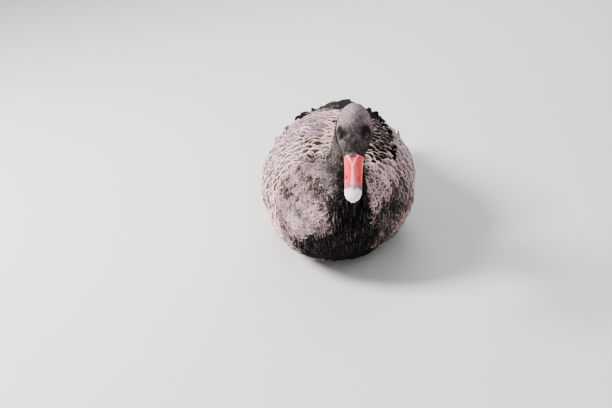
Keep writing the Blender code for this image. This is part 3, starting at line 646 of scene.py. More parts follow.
def plumage_roots(lie):
    """The roots of all small feathers, spread over the whole skin."""
    draw = np.random.default_rng(5)
    start, end = TAIL_BASE_END + 0.02, INSIDE_HEAD - 0.05
    body = ring_rows(lambda at, turn: skinned_trunk(at, turn)[0], start, end, body_space, draw, 0.10)
    crown = ring_rows(skinned_head, 0.3, len(HEAD) - 1.05, head_space, draw, 0.2)
    legs = np.concatenate([shin_places(side, SHIN_SPACE) for side in (1, -1)])
    body_at, crown_at = body[:, 0], crown[:, 0]
    on_body, on_crown = skinned_trunk(body_at, body[:, 1])[0], skinned_head(crown_at, crown[:, 1])
    points = np.concatenate([on_body, on_crown, legs[:, :3]])
    gaps = np.concatenate([np.stack(body_space(body_at), 1), np.stack(head_space(crown_at), 1),
                           np.full((len(legs), 2), SHIN_GAP)])
    allowed = np.concatenate([np.where(body_at > 18.5, NEAR_NECK_END, ON_SKIN),
                              np.where(crown_at < 7.0, NEAR_NAPE, ON_SKIN), np.full(len(legs), ON_SKIN)])
    covered = np.concatenate([under_long_feathers(body), np.zeros(len(crown) + len(legs), bool)])
    places, normals, far = lie.onto(points)
    near = (far < allowed) & clear_of_face(places) & ~covered
    places, gaps = places[near], gaps[near]
    places = places[thin_out(places, lie.where(places)[1], gaps)]
    nape = lie.corners[np.linalg.norm(lie.corners - in_head(NAPE), axis=1) < FILL_REACH]
    bare = [corner for corner in nape if np.linalg.norm(places - corner, axis=1).min() > BARE]
    bare = np.array(bare).reshape(-1, 3)
    filled = thin_out(bare, lie.where(bare)[1], np.full((len(bare), 2), FILL_GAP))
    return np.concatenate([places, bare[filled]])


# The plumage's pattern, alike on skin and coat, with light and shade painted into it in places: shares
# of pale fringes, of lightness of the web and of pale streaks. Left and right are the swan's own.

# Half the width of the dark breast, in degrees round the trunk, from row to row.
DARK_RIGHT = ((10.3, 11.2, 11.7, 12.1, 12.6, 13.1, 13.7, 14.2, 15.1, 16.1, 16.8, 18.0),
              (44, 50, 54, 36, 13, 12, 21, 18, 23, 14, 32, 110))
DARK_LEFT = ((10.3, 11.0, 11.8, 13.0, 14.0), (52, 54, 70, 88, 130))
# The dark patch of the right eye reaches inwards and up: this far left, forward and up.
BROW = (0.0075, 0.0015, 0.0035)


def patches(points):
    """Uneven patches of paler and darker plumage."""
    x, y, z = points.T
    broad = np.sin(x * 97 + y * 61 + 0.5) * np.sin(z * 88 - y * 45)
    return broad + 0.6 * np.sin(y * 190 + z * 140) * np.sin(x * 170)


def side_marks_and_light(at, angle, points, patchy):
    """The shares of back, flanks and breast, before their dark parts, with light and shade painted in: the
    left side darker, the far right flank and the left shoulder lighter, and shade in three places.
    """
    x, y, z = points.T
    on_left = ease(x, -0.028, 0.028)
    # The left shoulder, in the shadow that head and neck cast, is painted lighter here and below: painted
    # light.
    shoulder = ease(x, 0.040, 0.062) * ease(z, 0.138, 0.162) * ease(at, 8.4, 9.4)
    lobe = ease(at, 9.6, 10.8) * (1 - shoulder)
    loose = lobe * (1 - on_left)
    # The swan's left side, away from the key lamp, is painted duller and darker, most of all low down:
    # painted shade.
    pale = 0.92 - 0.20 * on_left + patchy * (0.10 + 0.12 * on_left)
    pale = pale - lobe * (0.38 + 0.04 * on_left) - loose * 0.10
    # The far right flank, toward the key lamp, is painted lighter here and in the tone below: painted light.
    pale = pale + 0.22 * shoulder + 0.14 * ease(-x, 0.075, 0.11)
    pale = pale * (1 - 0.30 * on_left * (1 - ease(z, 0.08, 0.15)))
    tone = 0.62 - 0.16 * on_left + patchy * 0.10
    tone = tone + lobe * (0.02 - 0.24 * on_left) + loose * (patchy * 0.20 - 0.04)
    tone = tone + 0.30 * shoulder + 0.10 * ease(-x, 0.085, 0.125)
    streak_and_glint = np.full(len(x), 0.12) + lobe * (0.25 + 0.45 * (1 - on_left))
    # Painted shade: a dark patch on the left breast beside the neck's base, a dark band in a crease of the
    # right side, and one along a fold high on the right back.
    left_breast_shade = on_left * bell((x - 0.110) / 0.030, (z - 0.125) / 0.036) * (1 - ease(y, -0.14, -0.09))
    crease = bell((at - 10.3) / 0.55, (np.degrees(angle) - 106) / 17)
    fold = bell((at - 8.55) / 0.42) * (1 - on_left) * ease(z, 0.200, 0.216)
    shaded = np.maximum(np.maximum(0.80 * left_breast_shade, 0.50 * crease), 0.35 * fold)
    return pale * (1 - shaded), tone * (1 - 0.9 * shaded), streak_and_glint


def head_tone(points):
    """How light the head is: a pale crown, dark lores and eyes, a pale edge to the bill, and its right side
    painted lighter, a painted rim highlight.
    """
    local = from_head(points)
    left, forward, up = local.T
    tone = 0.86 - 0.44 * ease(forward, -0.060, -0.036) - 0.14 * ease(forward, -0.034, -0.014)
    tone = tone * (0.40 + 0.60 * ease(forward + 0.8 * up, -0.092, -0.060)) - 0.30 * ease(-up, -0.014, 0.004)
    # The right side of the head, toward the key lamp, is painted lighter: a painted rim highlight.
    tone = tone + 0.26 * ease(-left, 0.010, 0.019) * ease(forward, -0.060, -0.036)
    mottle = bell((left - 0.013) / 0.010, (forward + 0.056) / 0.013)
    tone = tone * (1 - 0.34 * mottle) + 0.10 * np.sin(left * 520 + 1) * np.sin(forward * 430 + up * 200)
    eye = np.minimum(*(np.linalg.norm(local - eye_look(side)[0], axis=1) for side in (1, -1)))
    eye = np.minimum(eye, np.linalg.norm(local - eye_look(-1)[0] - BROW, axis=1) + 0.003)
    tone = tone * (0.06 + 0.94 * ease(eye, 0.0080, 0.0150))
    beak_edge = ease(forward, -0.0065, -0.0015) * (1 - ease(np.abs(left), 0.005, 0.008)) * (up > 0.010)
    return np.clip(tone + 0.50 * beak_edge, 0.02, 1)


def markings_and_light(points, place):
    """The three shares at each point, from where it lies and where that is on the body."""
    at, angle, crown = place.T
    x, z = points[:, 0], points[:, 2]
    patchy = patches(points)
    pale, tone, streak_and_glint = side_marks_and_light(at, angle, points, patchy)
    turned = (np.degrees(angle) - 270 + 180) % 360 - 180
    wide = np.where(turned < 0, np.interp(at, *DARK_RIGHT), np.interp(at, *DARK_LEFT))
    past = np.abs(turned) + patchy * 5 + np.sin(z * 420 + x * 300) * 3 - wide
    front = (1 - ease(past, -16, 12)) * ease(at, 9.6, 10.6)
    front = np.maximum(front, ease(at, 16.0, 18.5) * 0.9 * (1 - 0.45 * ease(at, 20.0, 22.0)))
    under, shins = 1 - ease(z, 0.020, 0.070), (at < 0.88) * (crown < 0.5)
    dark = np.maximum(np.maximum(front, under * 0.8), shins * 0.6)
    edge_band = bell((past - 2) / 14) * ease(at, 10.4, 11.2) * (1 - ease(at, 15.0, 16.0)) * (turned < 0)
    neck_side = ease(at, 13.0, 14.0) * (1 - dark)
    pale, tone = pale * (1 - dark) * (1 - 0.20 * neck_side), tone * (1 - dark)
    # On the dark breast and neck, the pale streaks added by the front are painted glints of wet feathers.
    streak_and_glint = streak_and_glint * (1 - dark) + front * 0.15 * ease(z, 0.060, 0.120) + edge_band * 0.6 + neck_side * 0.3
    tone = tone + edge_band * 0.10
    nape = ease(at, 18.6, 21.6) * ease(from_head(points)[:, 2], -0.030, 0.002)
    tone, pale = np.maximum(tone, 0.34 * nape), np.maximum(pale, 0.18 * nape)
    on_head = head_tone(points)
    tone = np.where(crown > 0.5, on_head, tone)
    pale = np.where(crown > 0.5, on_head * 0.5, pale)
    streak_and_glint = np.where(crown > 0.5, 0.10 + 0.25 * on_head, streak_and_glint)
    return np.clip(np.stack([pale, tone, streak_and_glint], 1), 0, 1)


def unwrapped(place):
    """Where a point of the skin lies on the flat unwrap of its own shape: round the body across,
    and along it upwards, with the head above the trunk."""
    at, angle, crown = place.T
    across = (angle % (2 * math.pi)) / (2 * math.pi) * 0.98 + 0.01
    return np.stack([across, np.where(crown > 0.5, 0.82 + 0.017 * at, 0.01 + 0.035 * at)], 1)


def bake_map(obj, at_points):
    """The map on which the finish is kept, from a place for each point of the mesh."""
    layer = obj.data.uv_layers.new(name="OFBake")
    corners = np.zeros(len(obj.data.loops), np.int32)
    obj.data.loops.foreach_get("vertex_index", corners)
    layer.data.foreach_set("uv", at_points[corners].astype(np.float32).ravel())


# Feathers.

# How large a feather is on the map for baking.
PATCH = 0.003
# The outlines of feathers: share of the length, and share of the half width there.
BLUNT = ((0.0, 0.34), (0.12, 0.60), (0.3, 0.86), (0.52, 0.99), (0.80, 1.0), (0.92, 0.93), (1.0, 0.78))
POINTED = ((0.0, 0.40), (0.2, 0.80), (0.45, 1.0), (0.78, 0.86), (0.92, 0.55), (1.0, 0.14))
LONG = ((0.0, 0.45), (0.15, 0.80), (0.4, 1.0), (0.82, 1.0), (0.92, 0.90), (0.97, 0.74), (1.0, 0.46))
LONG_ROWS = (0.0, 0.10, 0.22, 0.36, 0.50, 0.64, 0.78, 0.88, 0.95, 1.0)

# A kind of feather: where along it its rows of points lie, its outline, its columns of points, its
# thickness, how thin its fringe is along the sides, and how far back the corners of its tip lie.
Kind = namedtuple("Kind", "shares outline columns thickness side_rim bow")
SMALL = Kind((0.0, 0.4, 0.78, 1.0), POINTED, 3, 0.0005, 4.0, 0.0)
MIDDLE = Kind((0.0, 0.28, 0.58, 0.84, 1.0), POINTED, 3, 0.0005, 4.0, 0.0)
BROAD = Kind((0.0, 0.22, 0.45, 0.66, 0.84, 0.94, 1.0), BLUNT, 5, 0.0005, 4.0, 0.38)
WING_FEATHER = Kind(LONG_ROWS, LONG, 7, 0.0007, 2.2, 0.25)
TAIL_FEATHER = Kind(LONG_ROWS, LONG, 7, 0.0007, 4.0, 0.0)


def follow(lie, roots, lengths, turns, shares):
    """The way of each feather over the skin: its points, outward directions and ways on."""
    places, normals, far = lie.onto(roots)
    points, outs, ways = [places], [normals], []
    for before, after in zip(shares[:-1], shares[1:]):
        back = lie.where(places)[1]
        back = unit(back - normals * (back * normals).sum(1, keepdims=True))
        across = np.cross(normals, back)
        ahead = back * np.cos(turns)[:, None] + across * np.sin(turns)[:, None]
        step = lengths * (after - before)
        wished = places + ahead * step[:, None]
        places, fresh, far = lie.onto(wished)
        free = far > 0.45 * step
        places = np.where(free[:, None], wished, places)
        normals = np.where(free[:, None], normals, unit(normals * 0.35 + fresh * 0.65))
        points.append(places)
        outs.append(normals)
        ways.append(ahead)
    ways.append(ways[-1])
    points, outs = np.stack(points, 1), np.stack(outs, 1)
    return points, outs, unit(np.stack(ways, 1))


# The lowest a feather may reach over the floor, and how thin it is at its rim.
LOWEST, RIM_THICKNESS = 0.0007, 0.00008


def vane_template(rows, columns):
    """The faces of one feather: its upper web and its under side, which share their rim."""
    top = np.arange(rows * columns).reshape(rows, columns)
    under = top.copy()
    inner = (rows - 2) * (columns - 2)
    under[1:-1, 1:-1] = rows * columns + np.arange(inner).reshape(rows - 2, columns - 2)
    faces = []
    for i in range(rows - 1):
        for j in range(columns - 1):
            faces.append((top[i, j], top[i, j + 1], top[i + 1, j + 1], top[i + 1, j]))
            faces.append((under[i, j], under[i + 1, j], under[i + 1, j + 1], under[i, j + 1]))
    return np.array(faces)


def vane_points(kind, paths, sizes, draw):
    """The upper web and the inner part of the under side of each feather, and its half width."""
    points, outs, ways = paths
    count, rows = points.shape[:2]
    length, width, root, rise, curl, camber, twist, wave = sizes
    v, side = np.asarray(kind.shares), np.linspace(-1, 1, kind.columns)
    row = v[None, :, None]
    half = 0.5 * width[:, None] * np.interp(v, *zip(*kind.outline))[None, :]
    across = np.cross(outs, ways)
    turn = (twist[:, None] * v)[..., None]
    web = across * np.cos(turn) + outs * np.sin(turn)
    face = outs * np.cos(turn) - across * np.sin(turn)
    height = root[:, None] + rise[:, None] * v + curl[:, None] * v ** 3
    phase = draw.uniform(0, 6.28, count)[:, None, None]
    ripple = wave[:, None, None] * np.sin(phase + 7.5 * row + 1.6 * side) * np.abs(side) ** 1.5
    ripple = ripple * ease(row, 0.15, 0.5)
    arch = camber[:, None, None] * half[..., None] * (1 - side ** 2)
    ragged = 1 + draw.uniform(-0.05, 0.05, (count, rows, 1)) * np.abs(side)
    uneven = draw.uniform(-0.016, 0.016, (count, rows, kind.columns)) * ease(row, 0.7, 0.9)
    bowed = kind.bow * half[..., None] * side ** 2 * ease(row, 0.3, 0.95) + length[:, None, None] * uneven
    top = (points[:, :, None] + outs[:, :, None] * height[:, :, None, None]
           - ways[:, :, None] * bowed[..., None]
           + web[:, :, None] * (half[..., None] * side * ragged)[..., None]
           + face[:, :, None] * (arch + ripple)[..., None])
    top[..., 2] = np.maximum(top[..., 2], LOWEST)
    thick = kind.thickness * (1 - 0.6 * row) * (1 - np.abs(side)) + RIM_THICKNESS
    under = top - face[:, :, None] * np.broadcast_to(thick, top.shape[:3])[..., None]
    return top, under[:, 1:-1, 1:-1], half


def vanes(name, kind, paths, sizes, marks_and_light, spots, draw, finish, slot):
    """A coat of feathers as one mesh. Sizes holds, for each one, its length, width, root height,
    rise, curl, camber, twist and wave."""
    count, rows = paths[0].shape[:2]
    sizes = [np.broadcast_to(size, count).astype(float) for size in sizes]
    top, under, half = vane_points(kind, paths, sizes, draw)
    length, width = sizes[:2]
    faces = vane_template(rows, kind.columns)
    verts = np.concatenate([top.reshape(count, -1, 3), under.reshape(count, -1, 3)], 1)
    each = verts.shape[1]
    faces = faces[None] + (np.arange(count) * each)[:, None, None]
    obj = mesh_object(name, verts.reshape(-1, 3), faces.reshape(-1, 4))

    def both(values):
        values = np.broadcast_to(values, top.shape[:3])
        return np.concatenate([values.reshape(count, -1), values[:, 1:-1, 1:-1].reshape(count, -1)], 1)

    v, side = np.asarray(kind.shares), np.linspace(-1, 1, kind.columns)
    ends, widths = zip(*kind.outline[np.argmax([share for end, share in kind.outline]):])
    spread = np.abs(side)[None, :] * np.interp(v, *zip(*kind.outline))[:, None]
    reached = np.interp(spread, widths[::-1], ends[::-1])
    to_tip = np.maximum(reached - v[:, None], 0)[None] * length[:, None, None]
    rim = both(np.minimum(to_tip, half[..., None] * (1 - np.abs(side)) * kind.side_rim))
    aside, along = both(half[..., None] * side), both((v * length[:, None])[..., None])
    share = both(v[None, :, None])
    luck = np.repeat(draw.uniform(0, 1, count)[:, None], each, 1)
    attribute(obj, "vane", np.stack([aside, along, luck], -1).reshape(-1, 3))
    attribute(obj, "rim", np.stack([rim, share, np.repeat(width[:, None], each, 1)], -1).reshape(-1, 3))
    attribute(obj, "marks_and_light", np.repeat(marks_and_light[:, None], each, 1).reshape(-1, 3))
    patch = np.stack([both(side) * 0.5, share - 0.5], -1) * PATCH
    bake_map(obj, (spots[:, None] + patch).reshape(-1, 2))
    smooth_by(obj, 60)
    return keep(obj, finish=finish, slot=slot)


# Where the flank feathers stand off in pale wisps: trunk row and angle.
TUFTS = ((6.9, 150.0), (7.4, 158.0), (6.3, 30.0), (5.8, 36.0))
# How far a wisp reaches, in rows and degrees, and how far it curls off.
TUFT_REACH, TUFT_CURL = (0.30, 7.0), 0.011
# The trunk row where the breast begins.
BREAST_AT = 9.5


def small_feathers(lie, broad_finish, short_finish):
    """The coat of head, neck and body, in pieces by part and side."""
    roots = plumage_roots(lie)
    place = lie.where(roots)[0]
    at, angle, crown = place.T
    marks_and_light, spots = markings_and_light(roots, place), unwrapped(place)
    draw = np.random.default_rng(11)
    between, beside = (np.where(crown > 0.5, h, b) for h, b in zip(head_space(at), body_space(at)))
    off_head = crown < 0.5
    wisps = np.zeros(len(at))
    for row, turn in TUFTS:
        wisps += bell((at - row) / TUFT_REACH[0], (np.degrees(angle) - turn) / TUFT_REACH[1]) * off_head
    flank, to_left = off_head & (at <= BREAST_AT), np.cos(angle) > 0
    parts = (
        ("coat_head", ~off_head, SMALL, 4.4, 1.45),
        ("coat_neck", off_head & (at > NECK_AT), MIDDLE, 4.2, 1.6),
        ("coat_breast", off_head & (at <= NECK_AT) & (at > BREAST_AT), BROAD, 4.4, 1.45),
        ("coat_left", flank & to_left, BROAD, 4.2, 1.45),
        ("coat_right", flank & ~to_left, BROAD, 4.2, 1.45),
    )
    for name, chosen, kind, long, wide in parts:
        count = int(chosen.sum())
        wisp = wisps[chosen]
        length = between[chosen] * long * draw.uniform(0.86, 1.14, count)
        width = beside[chosen] * wide * draw.uniform(0.88, 1.12, count) * (1 - 0.6 * wisp)
        deep = np.full(count, HEAD_COAT) if name == "coat_head" else coat_depth(at[chosen])
        paths = follow(lie, roots[chosen], length, draw.uniform(-0.12, 0.12, count), kind.shares)
        rise = deep * draw.uniform(0.90, 1.15, count)
        curl = deep * draw.uniform(-0.05, 0.35, count) + wisp * draw.uniform(0.2, 1.0, count) * TUFT_CURL
        twist = draw.uniform(-0.14, 0.14, count) * (1 + 4 * wisp)
        sizes = (length, width, -0.15 * deep, rise, curl, 0.10, twist, width * 0.025)
        finish = broad_finish if kind is BROAD else short_finish
        vanes(name, kind, paths, sizes, marks_and_light[chosen], spots[chosen], draw, finish, "body_plumage")


# Finishes, made of nodes.

class Value:
    """A value or colour in a finish. Arithmetic on it adds the nodes that work it out."""

    def __init__(self, finish, socket):
        self.finish, self.socket = finish, socket

    def math(self, operation, *others):
        sockets = dict(enumerate((self, *others)))
        return self.finish.node("ShaderNodeMath", {"operation": operation}, sockets)

    def __add__(self, other):
        return self.math("ADD", other)

    def __sub__(self, other):
        return self.math("SUBTRACT", other)

    def __rsub__(self, other):
        return self.finish.node("ShaderNodeMath", {"operation": "SUBTRACT"}, {0: other, 1: self})

    def __mul__(self, other):
        return self.math("MULTIPLY", other)

    def __truediv__(self, other):
        return self.math("DIVIDE", other)

    def __pow__(self, other):
        return self.math("POWER", other)

    __radd__, __rmul__ = __add__, __mul__

    def sin(self):
        return self.math("SINE")

    def size(self):
        """The value without its sign."""
        return self.math("ABSOLUTE")

    def between(self, low, high):
        """0 below low, 1 above high, smooth in between."""
        sockets = {"Value": self, "From Min": low, "From Max": high}
        return self.finish.node("ShaderNodeMapRange", {"interpolation_type": "SMOOTHSTEP"}, sockets)


class Finish:
    """A material of the swan, built node by node."""

    def __init__(self, name, **shader):
        self.material = bpy.data.materials.new(name)
        self.material.use_nodes = True
        self.tree = self.material.node_tree
        self.shader = self.tree.nodes["Principled BSDF"]
        for socket, value in shader.items():
            self.shader.inputs[socket.replace("_", " ")].default_value = value

    def node(self, kind, settings=None, sockets=None, out=0):
        """A node of the given kind, with what its sockets take, and one of its outputs."""
        made = self.tree.nodes.new(kind)
        for key, value in (settings or {}).items():
            setattr(made, key, value)
        for key, value in (sockets or {}).items():
            if isinstance(value, Value):
                self.tree.links.new(value.socket, made.inputs[key])
            else:
                made.inputs[key].default_value = value
        return Value(self, made.outputs[out])

    def mark(self, name):
        """The three numbers of an attribute of the mesh."""
        whole = self.node("ShaderNodeAttribute", {"attribute_name": name}, out="Vector")
        return [self.node("ShaderNodeSeparateXYZ", sockets={0: whole}, out=i) for i in range(3)]

    def mix(self, share, first, second):
        """The first colour where the share is 0, the second where it is 1."""
        first, second = (value if isinstance(value, Value) else (*value, 1.0) for value in (first, second))
        return self.node("ShaderNodeMix", {"data_type": "RGBA"}, {0: share, 6: first, 7: second}, out=2)

    def place(self):
        return self.node("ShaderNodeTexCoord", out="Object")

    def joined(self, x, y, z):
        return self.node("ShaderNodeCombineXYZ", sockets={0: x, 1: y, 2: z})

    def noise(self, scale, detail=3.0, where=None, rough=0.5):
        sockets = {"Vector": where or self.place(), "Scale": scale, "Detail": detail, "Roughness": rough}
        return self.node("ShaderNodeTexNoise", sockets=sockets)

    def hairs(self, scales, low, high):
        """Fine streaks, from noise that is drawn out along the body."""
        lie = self.node("ShaderNodeVectorMath", {"operation": "MULTIPLY"}, {0: self.place(), 1: scales})
        return self.noise(1.0, 3.0, lie, 0.6).between(low, high)

    def paint(self, colour, height=None, depth=0.0, strength=0.0):
        """Joins the colour to the shader, and bumps of the given depth where there is a height."""
        self.tree.links.new(colour.socket, self.shader.inputs["Base Color"])
        if height is not None:
            sockets = {"Height": height, "Distance": depth, "Strength": strength}
            bump = self.node("ShaderNodeBump", sockets=sockets)
            self.tree.links.new(bump.socket, self.shader.inputs["Normal"])
        return self.material


# The colours of the plumage, from dark to light webs, and of its fringes, of its streaks, in part painted
# glints of wet feathers, and of the painted glints on head and neck.
SOOT, UMBER = (0.0017, 0.0013, 0.0014), (0.023, 0.016, 0.016)
MAUVE, LILAC = (0.152, 0.100, 0.118), (0.320, 0.222, 0.272)
BUFF, ASH = (0.98, 0.68, 0.575), (0.52, 0.42, 0.41)
SHORT_FRINGE, WET_GLINT = (0.60, 0.50, 0.48), (0.80, 0.74, 0.74)


def shade(made, tone):
    """The colour of a web, from soot through brown and mauve to lilac grey."""
    colour = made.mix(tone.between(0.02, 0.34), SOOT, UMBER)
    colour = made.mix(tone.between(0.26, 0.66), colour, MAUVE)
    return made.mix(tone.between(0.62, 1.0), colour, LILAC)


def plumage_finish(name, lightens):
    """Webs that lighten towards a soft pale tip, over the given shares of their length; the darker part
    nearer the root is partly the web's own dark base and partly painted shade under the tip of the feather
    above.
    """
    made = Finish(name, Roughness=0.72, Specular_IOR_Level=0.05)
    aside, along, luck = made.mark("vane")
    rim, share, width = made.mark("rim")
    pale, tone, streak_and_glint = made.mark("marks_and_light")
    frayed = made.noise(1.0, 3.0, made.joined(aside * 420, along * 60, luck * 70))
    barbs = ((along - aside.size() * 1.1) * 4200 + luck * 40).sin()
    clumps = made.noise(34.0, 2.0)
    reach = width * (0.025 + pale * (0.062 + luck * 0.050))
    fringe = 1 - (rim / reach + (frayed - 0.5) * 1.5).between(0.15, 1.45)
    fringe = fringe * (pale * (0.62 + 0.40 * luck) + (clumps - 0.5) * 0.7).between(0.0, 0.9)
    # Darker towards the root: partly the web's own colour, partly painted shade under the overlapping
    # feather.
    near_tip = share.between(*lightens) * (0.64 - tone * 0.42 - streak_and_glint * 0.2 + luck * 0.26)
    lightness = tone * (0.27 + tone * 0.52 + streak_and_glint * 0.20 + near_tip)
    web = shade(made, lightness + (frayed - 0.5) * 0.20 * (tone + 0.2))
    colour = made.mix(fringe * (0.92 + barbs * 0.08), web, BUFF)
    hairs = made.hairs((520.0, 100.0, 40.0), 0.54, 0.66)
    colour = made.mix(hairs * streak_and_glint * (0.65 + luck * 0.25), colour, ASH)
    return made.paint(colour, barbs * 0.4 + frayed * 2, 0.0004, 0.35)


def short_finish():
    """The short dense feathers of head and neck, finely speckled, with sparse painted glints of wet feathers.
    """
    made = Finish("short_plumage", Roughness=0.7, Specular_IOR_Level=0.12)
    luck = made.mark("vane")[2]
    rim, share, width = made.mark("rim")
    pale, tone, streak_and_glint = made.mark("marks_and_light")
    mottled = made.noise(420.0, 3.0, None, 0.65)
    edge = (1 - (rim / width).between(0.04, 0.26)) * share.between(0.3, 0.8)
    web = shade(made, tone * (0.72 + luck * 0.35) + (mottled - 0.5) * 0.55 * tone)
    colour = made.mix(edge * pale * (0.3 + luck * 0.7), web, SHORT_FRINGE)
    # Sparse pale specks: painted glints of water on wet feathers.
    colour = made.mix(luck.between(0.93, 0.97) * pale * 0.5, colour, WET_GLINT)
    hairs = made.hairs((420.0, 110.0, 80.0), 0.60, 0.72)
    colour = made.mix(hairs * streak_and_glint * (0.35 + luck * 0.65), colour, ASH)
    return made.paint(colour, mottled + rim / width, 0.0004, 0.5)


def skin_finish():
    """Down in the colours of the plumage over it."""
    made = Finish("skin", Roughness=0.8, Specular_IOR_Level=0.1)
    tone = made.mark("marks_and_light")[1]
    patchy = made.noise(160.0, 4.0)
    return made.paint(shade(made, tone * 0.6 * (0.6 + patchy * 0.8)), patchy, 0.0006, 0.4)


# The folded wings.

# A wing's rows of feathers from shoulder to tip: trunk row, gap to the next, length, width.
WING_ROWS = np.array((
    (2.9, 0.0150, 0.080, 0.030),
    (3.8, 0.0150, 0.098, 0.035),
    (4.8, 0.0130, 0.088, 0.036),
    (5.7, 0.0095, 0.064, 0.033),
    (7.2, 0.0070, 0.045, 0.028),
    (8.4, 0.0064, 0.036, 0.025),
    (9.5, 0.0062, 0.031, 0.023),
))
# The share of a feather's width from one to the next, and how far the rows stand off over the tail.
BESIDE_SHARE, OVER_TAIL = 0.52, 0.0110
# How far up the wing the ruffled feathers lie, from row to row, and how broad the left band is.
RUFFLED_LEFT = ((4.0, 5.0, 5.9, 6.5, 7.0, 7.4, 8.3), (0.76, 0.72, 0.655, 0.605, 0.57, 0.535, 0.49))
RUFFLED_RIGHT = ((4.0, 6.0), (0.64, 0.70))
RUFFLED_BREADTH = ((5.0, 7.0), (0.052, 0.027))
# For each side: between which shares of the way up the wing its rear feathers begin to lift off, and
# the row and share where a wisp hangs loose. A few feathers of the left wing stand upright.
LIFTED = {1: (0.82, 0.93), -1: (0.55, 0.80)}
LOOSE = {1: (6.1, 0.37), -1: (6.5, 0.53)}
UPRIGHT = (4.6, 0.93)


def read_wing(rows, at, *columns):
    """Columns of a table of the wing, read at trunk rows."""
    order = np.argsort(rows[:, 0])
    return [np.interp(at, rows[order, 0], rows[order, column]) for column in columns]


def curled(at, v, side):
    """How strongly the feathers of a place on the wing are ruffled and curled."""
    if side > 0:
        band = bell((v - np.interp(at, *RUFFLED_LEFT)) / np.interp(at, *RUFFLED_BREADTH))
        return band * (1 - ease(at, 8.4, 8.9)) * ease(at, 4.1, 4.9)
    band = bell((v - np.interp(at, *RUFFLED_RIGHT)) / 0.070)
    return band * (1 - ease(at, 5.5, 6.0)) * (0.8 + 0.35 * np.sin(v * 60 + at * 8))


def wing_marks_and_light(at, v, side, base):
    """The wing's rows over the shares of the body, with light and shade painted in: the upper rows of the
    left wing darker and the middle rows of the right wing lighter.
    """
    pale, tone, streak_and_glint = base.T.copy()
    rear = 1 - ease(at, 4.9, 6.6)
    if side > 0:
        # The upper rows of the left wing, away from the key lamp, are painted darker: painted shade.
        upper = ease(v, 0.46, 0.60) * (1 - ease(v, 0.90, 1.02) * 0.6)
        pale = pale * (1 - upper * 0.26) + 0.33 * (1 - upper)
        tone = tone * (1 - upper * 0.62) + (0.44 - 0.06 * ease(at, 6.8, 8.4)) * (1 - upper)
        tone, pale = tone * (1 - rear * 0.45), pale * (1 - rear * 0.10)
    else:
        smooth = ease(v, 0.84, 0.90) * ease(at, 4.8, 5.3) * (1 - ease(at, 7.8, 8.3))
        # The middle rows of the right wing, toward the key lamp, are painted lighter: painted light.
        arcs = ease(v, 0.40, 0.50) * (1 - ease(v, 0.84, 0.90)) * ease(at, 5.4, 6.4)
        tone = tone + 0.12 * arcs
        tone = tone + (0.88 - 0.16 * ease(at, 6.4, 7.4) - tone) * smooth
        pale = pale * (1 - smooth * 0.70)
        tone, pale = tone * (1 - rear * 0.55), pale * (1 - rear * 0.50)
    black = np.clip(curled(at, v, side) * 1.5, 0, 1) ** np.where(at > 6.2, 4.0, 1.0)
    low = (1 - ease(v, 0.30, 0.46)) * (1 - ease(at, 5.0, 6.4))
    tone, pale = tone * (1 - low * 0.6), pale * (1 - low * 0.55)
    return np.stack([pale * (1 - black), tone * (1 - black) + 0.01, streak_and_glint * (1 - black) * 0.3], 1)


def wing_places(draw):
    """The feathers of a wing: the trunk row of each, and its share of the way up the wing."""
    found, at, odd = [], WING_ROWS[-1, 0], False
    while at > WING_ROWS[0, 0]:
        gap, width = read_wing(WING_ROWS, at, 1, 3)
        turns = np.radians(np.linspace(*read_wing(WING, at, 1, 2), 60))
        ring = skinned_trunk(np.full(60, at), turns)[0]
        count = max(int(arc_lengths(ring)[-1] / (width * BESIDE_SHARE)), 3)
        v = (np.arange(count) + (0.75 if odd else 0.25) + draw.uniform(-0.12, 0.12, count)) / count
        row = at + draw.uniform(-0.05, 0.05, count) + 0.06 * np.sin(v * 17 + at * 3)
        found.append(np.stack([row, np.clip(v, 0.01, 0.99)], 1))
        step = np.linalg.norm(trunk(at, 1.2) - trunk(at - 0.1, 1.2)) / 0.1
        at, odd = at - gap / step, not odd
    return np.concatenate(found).T


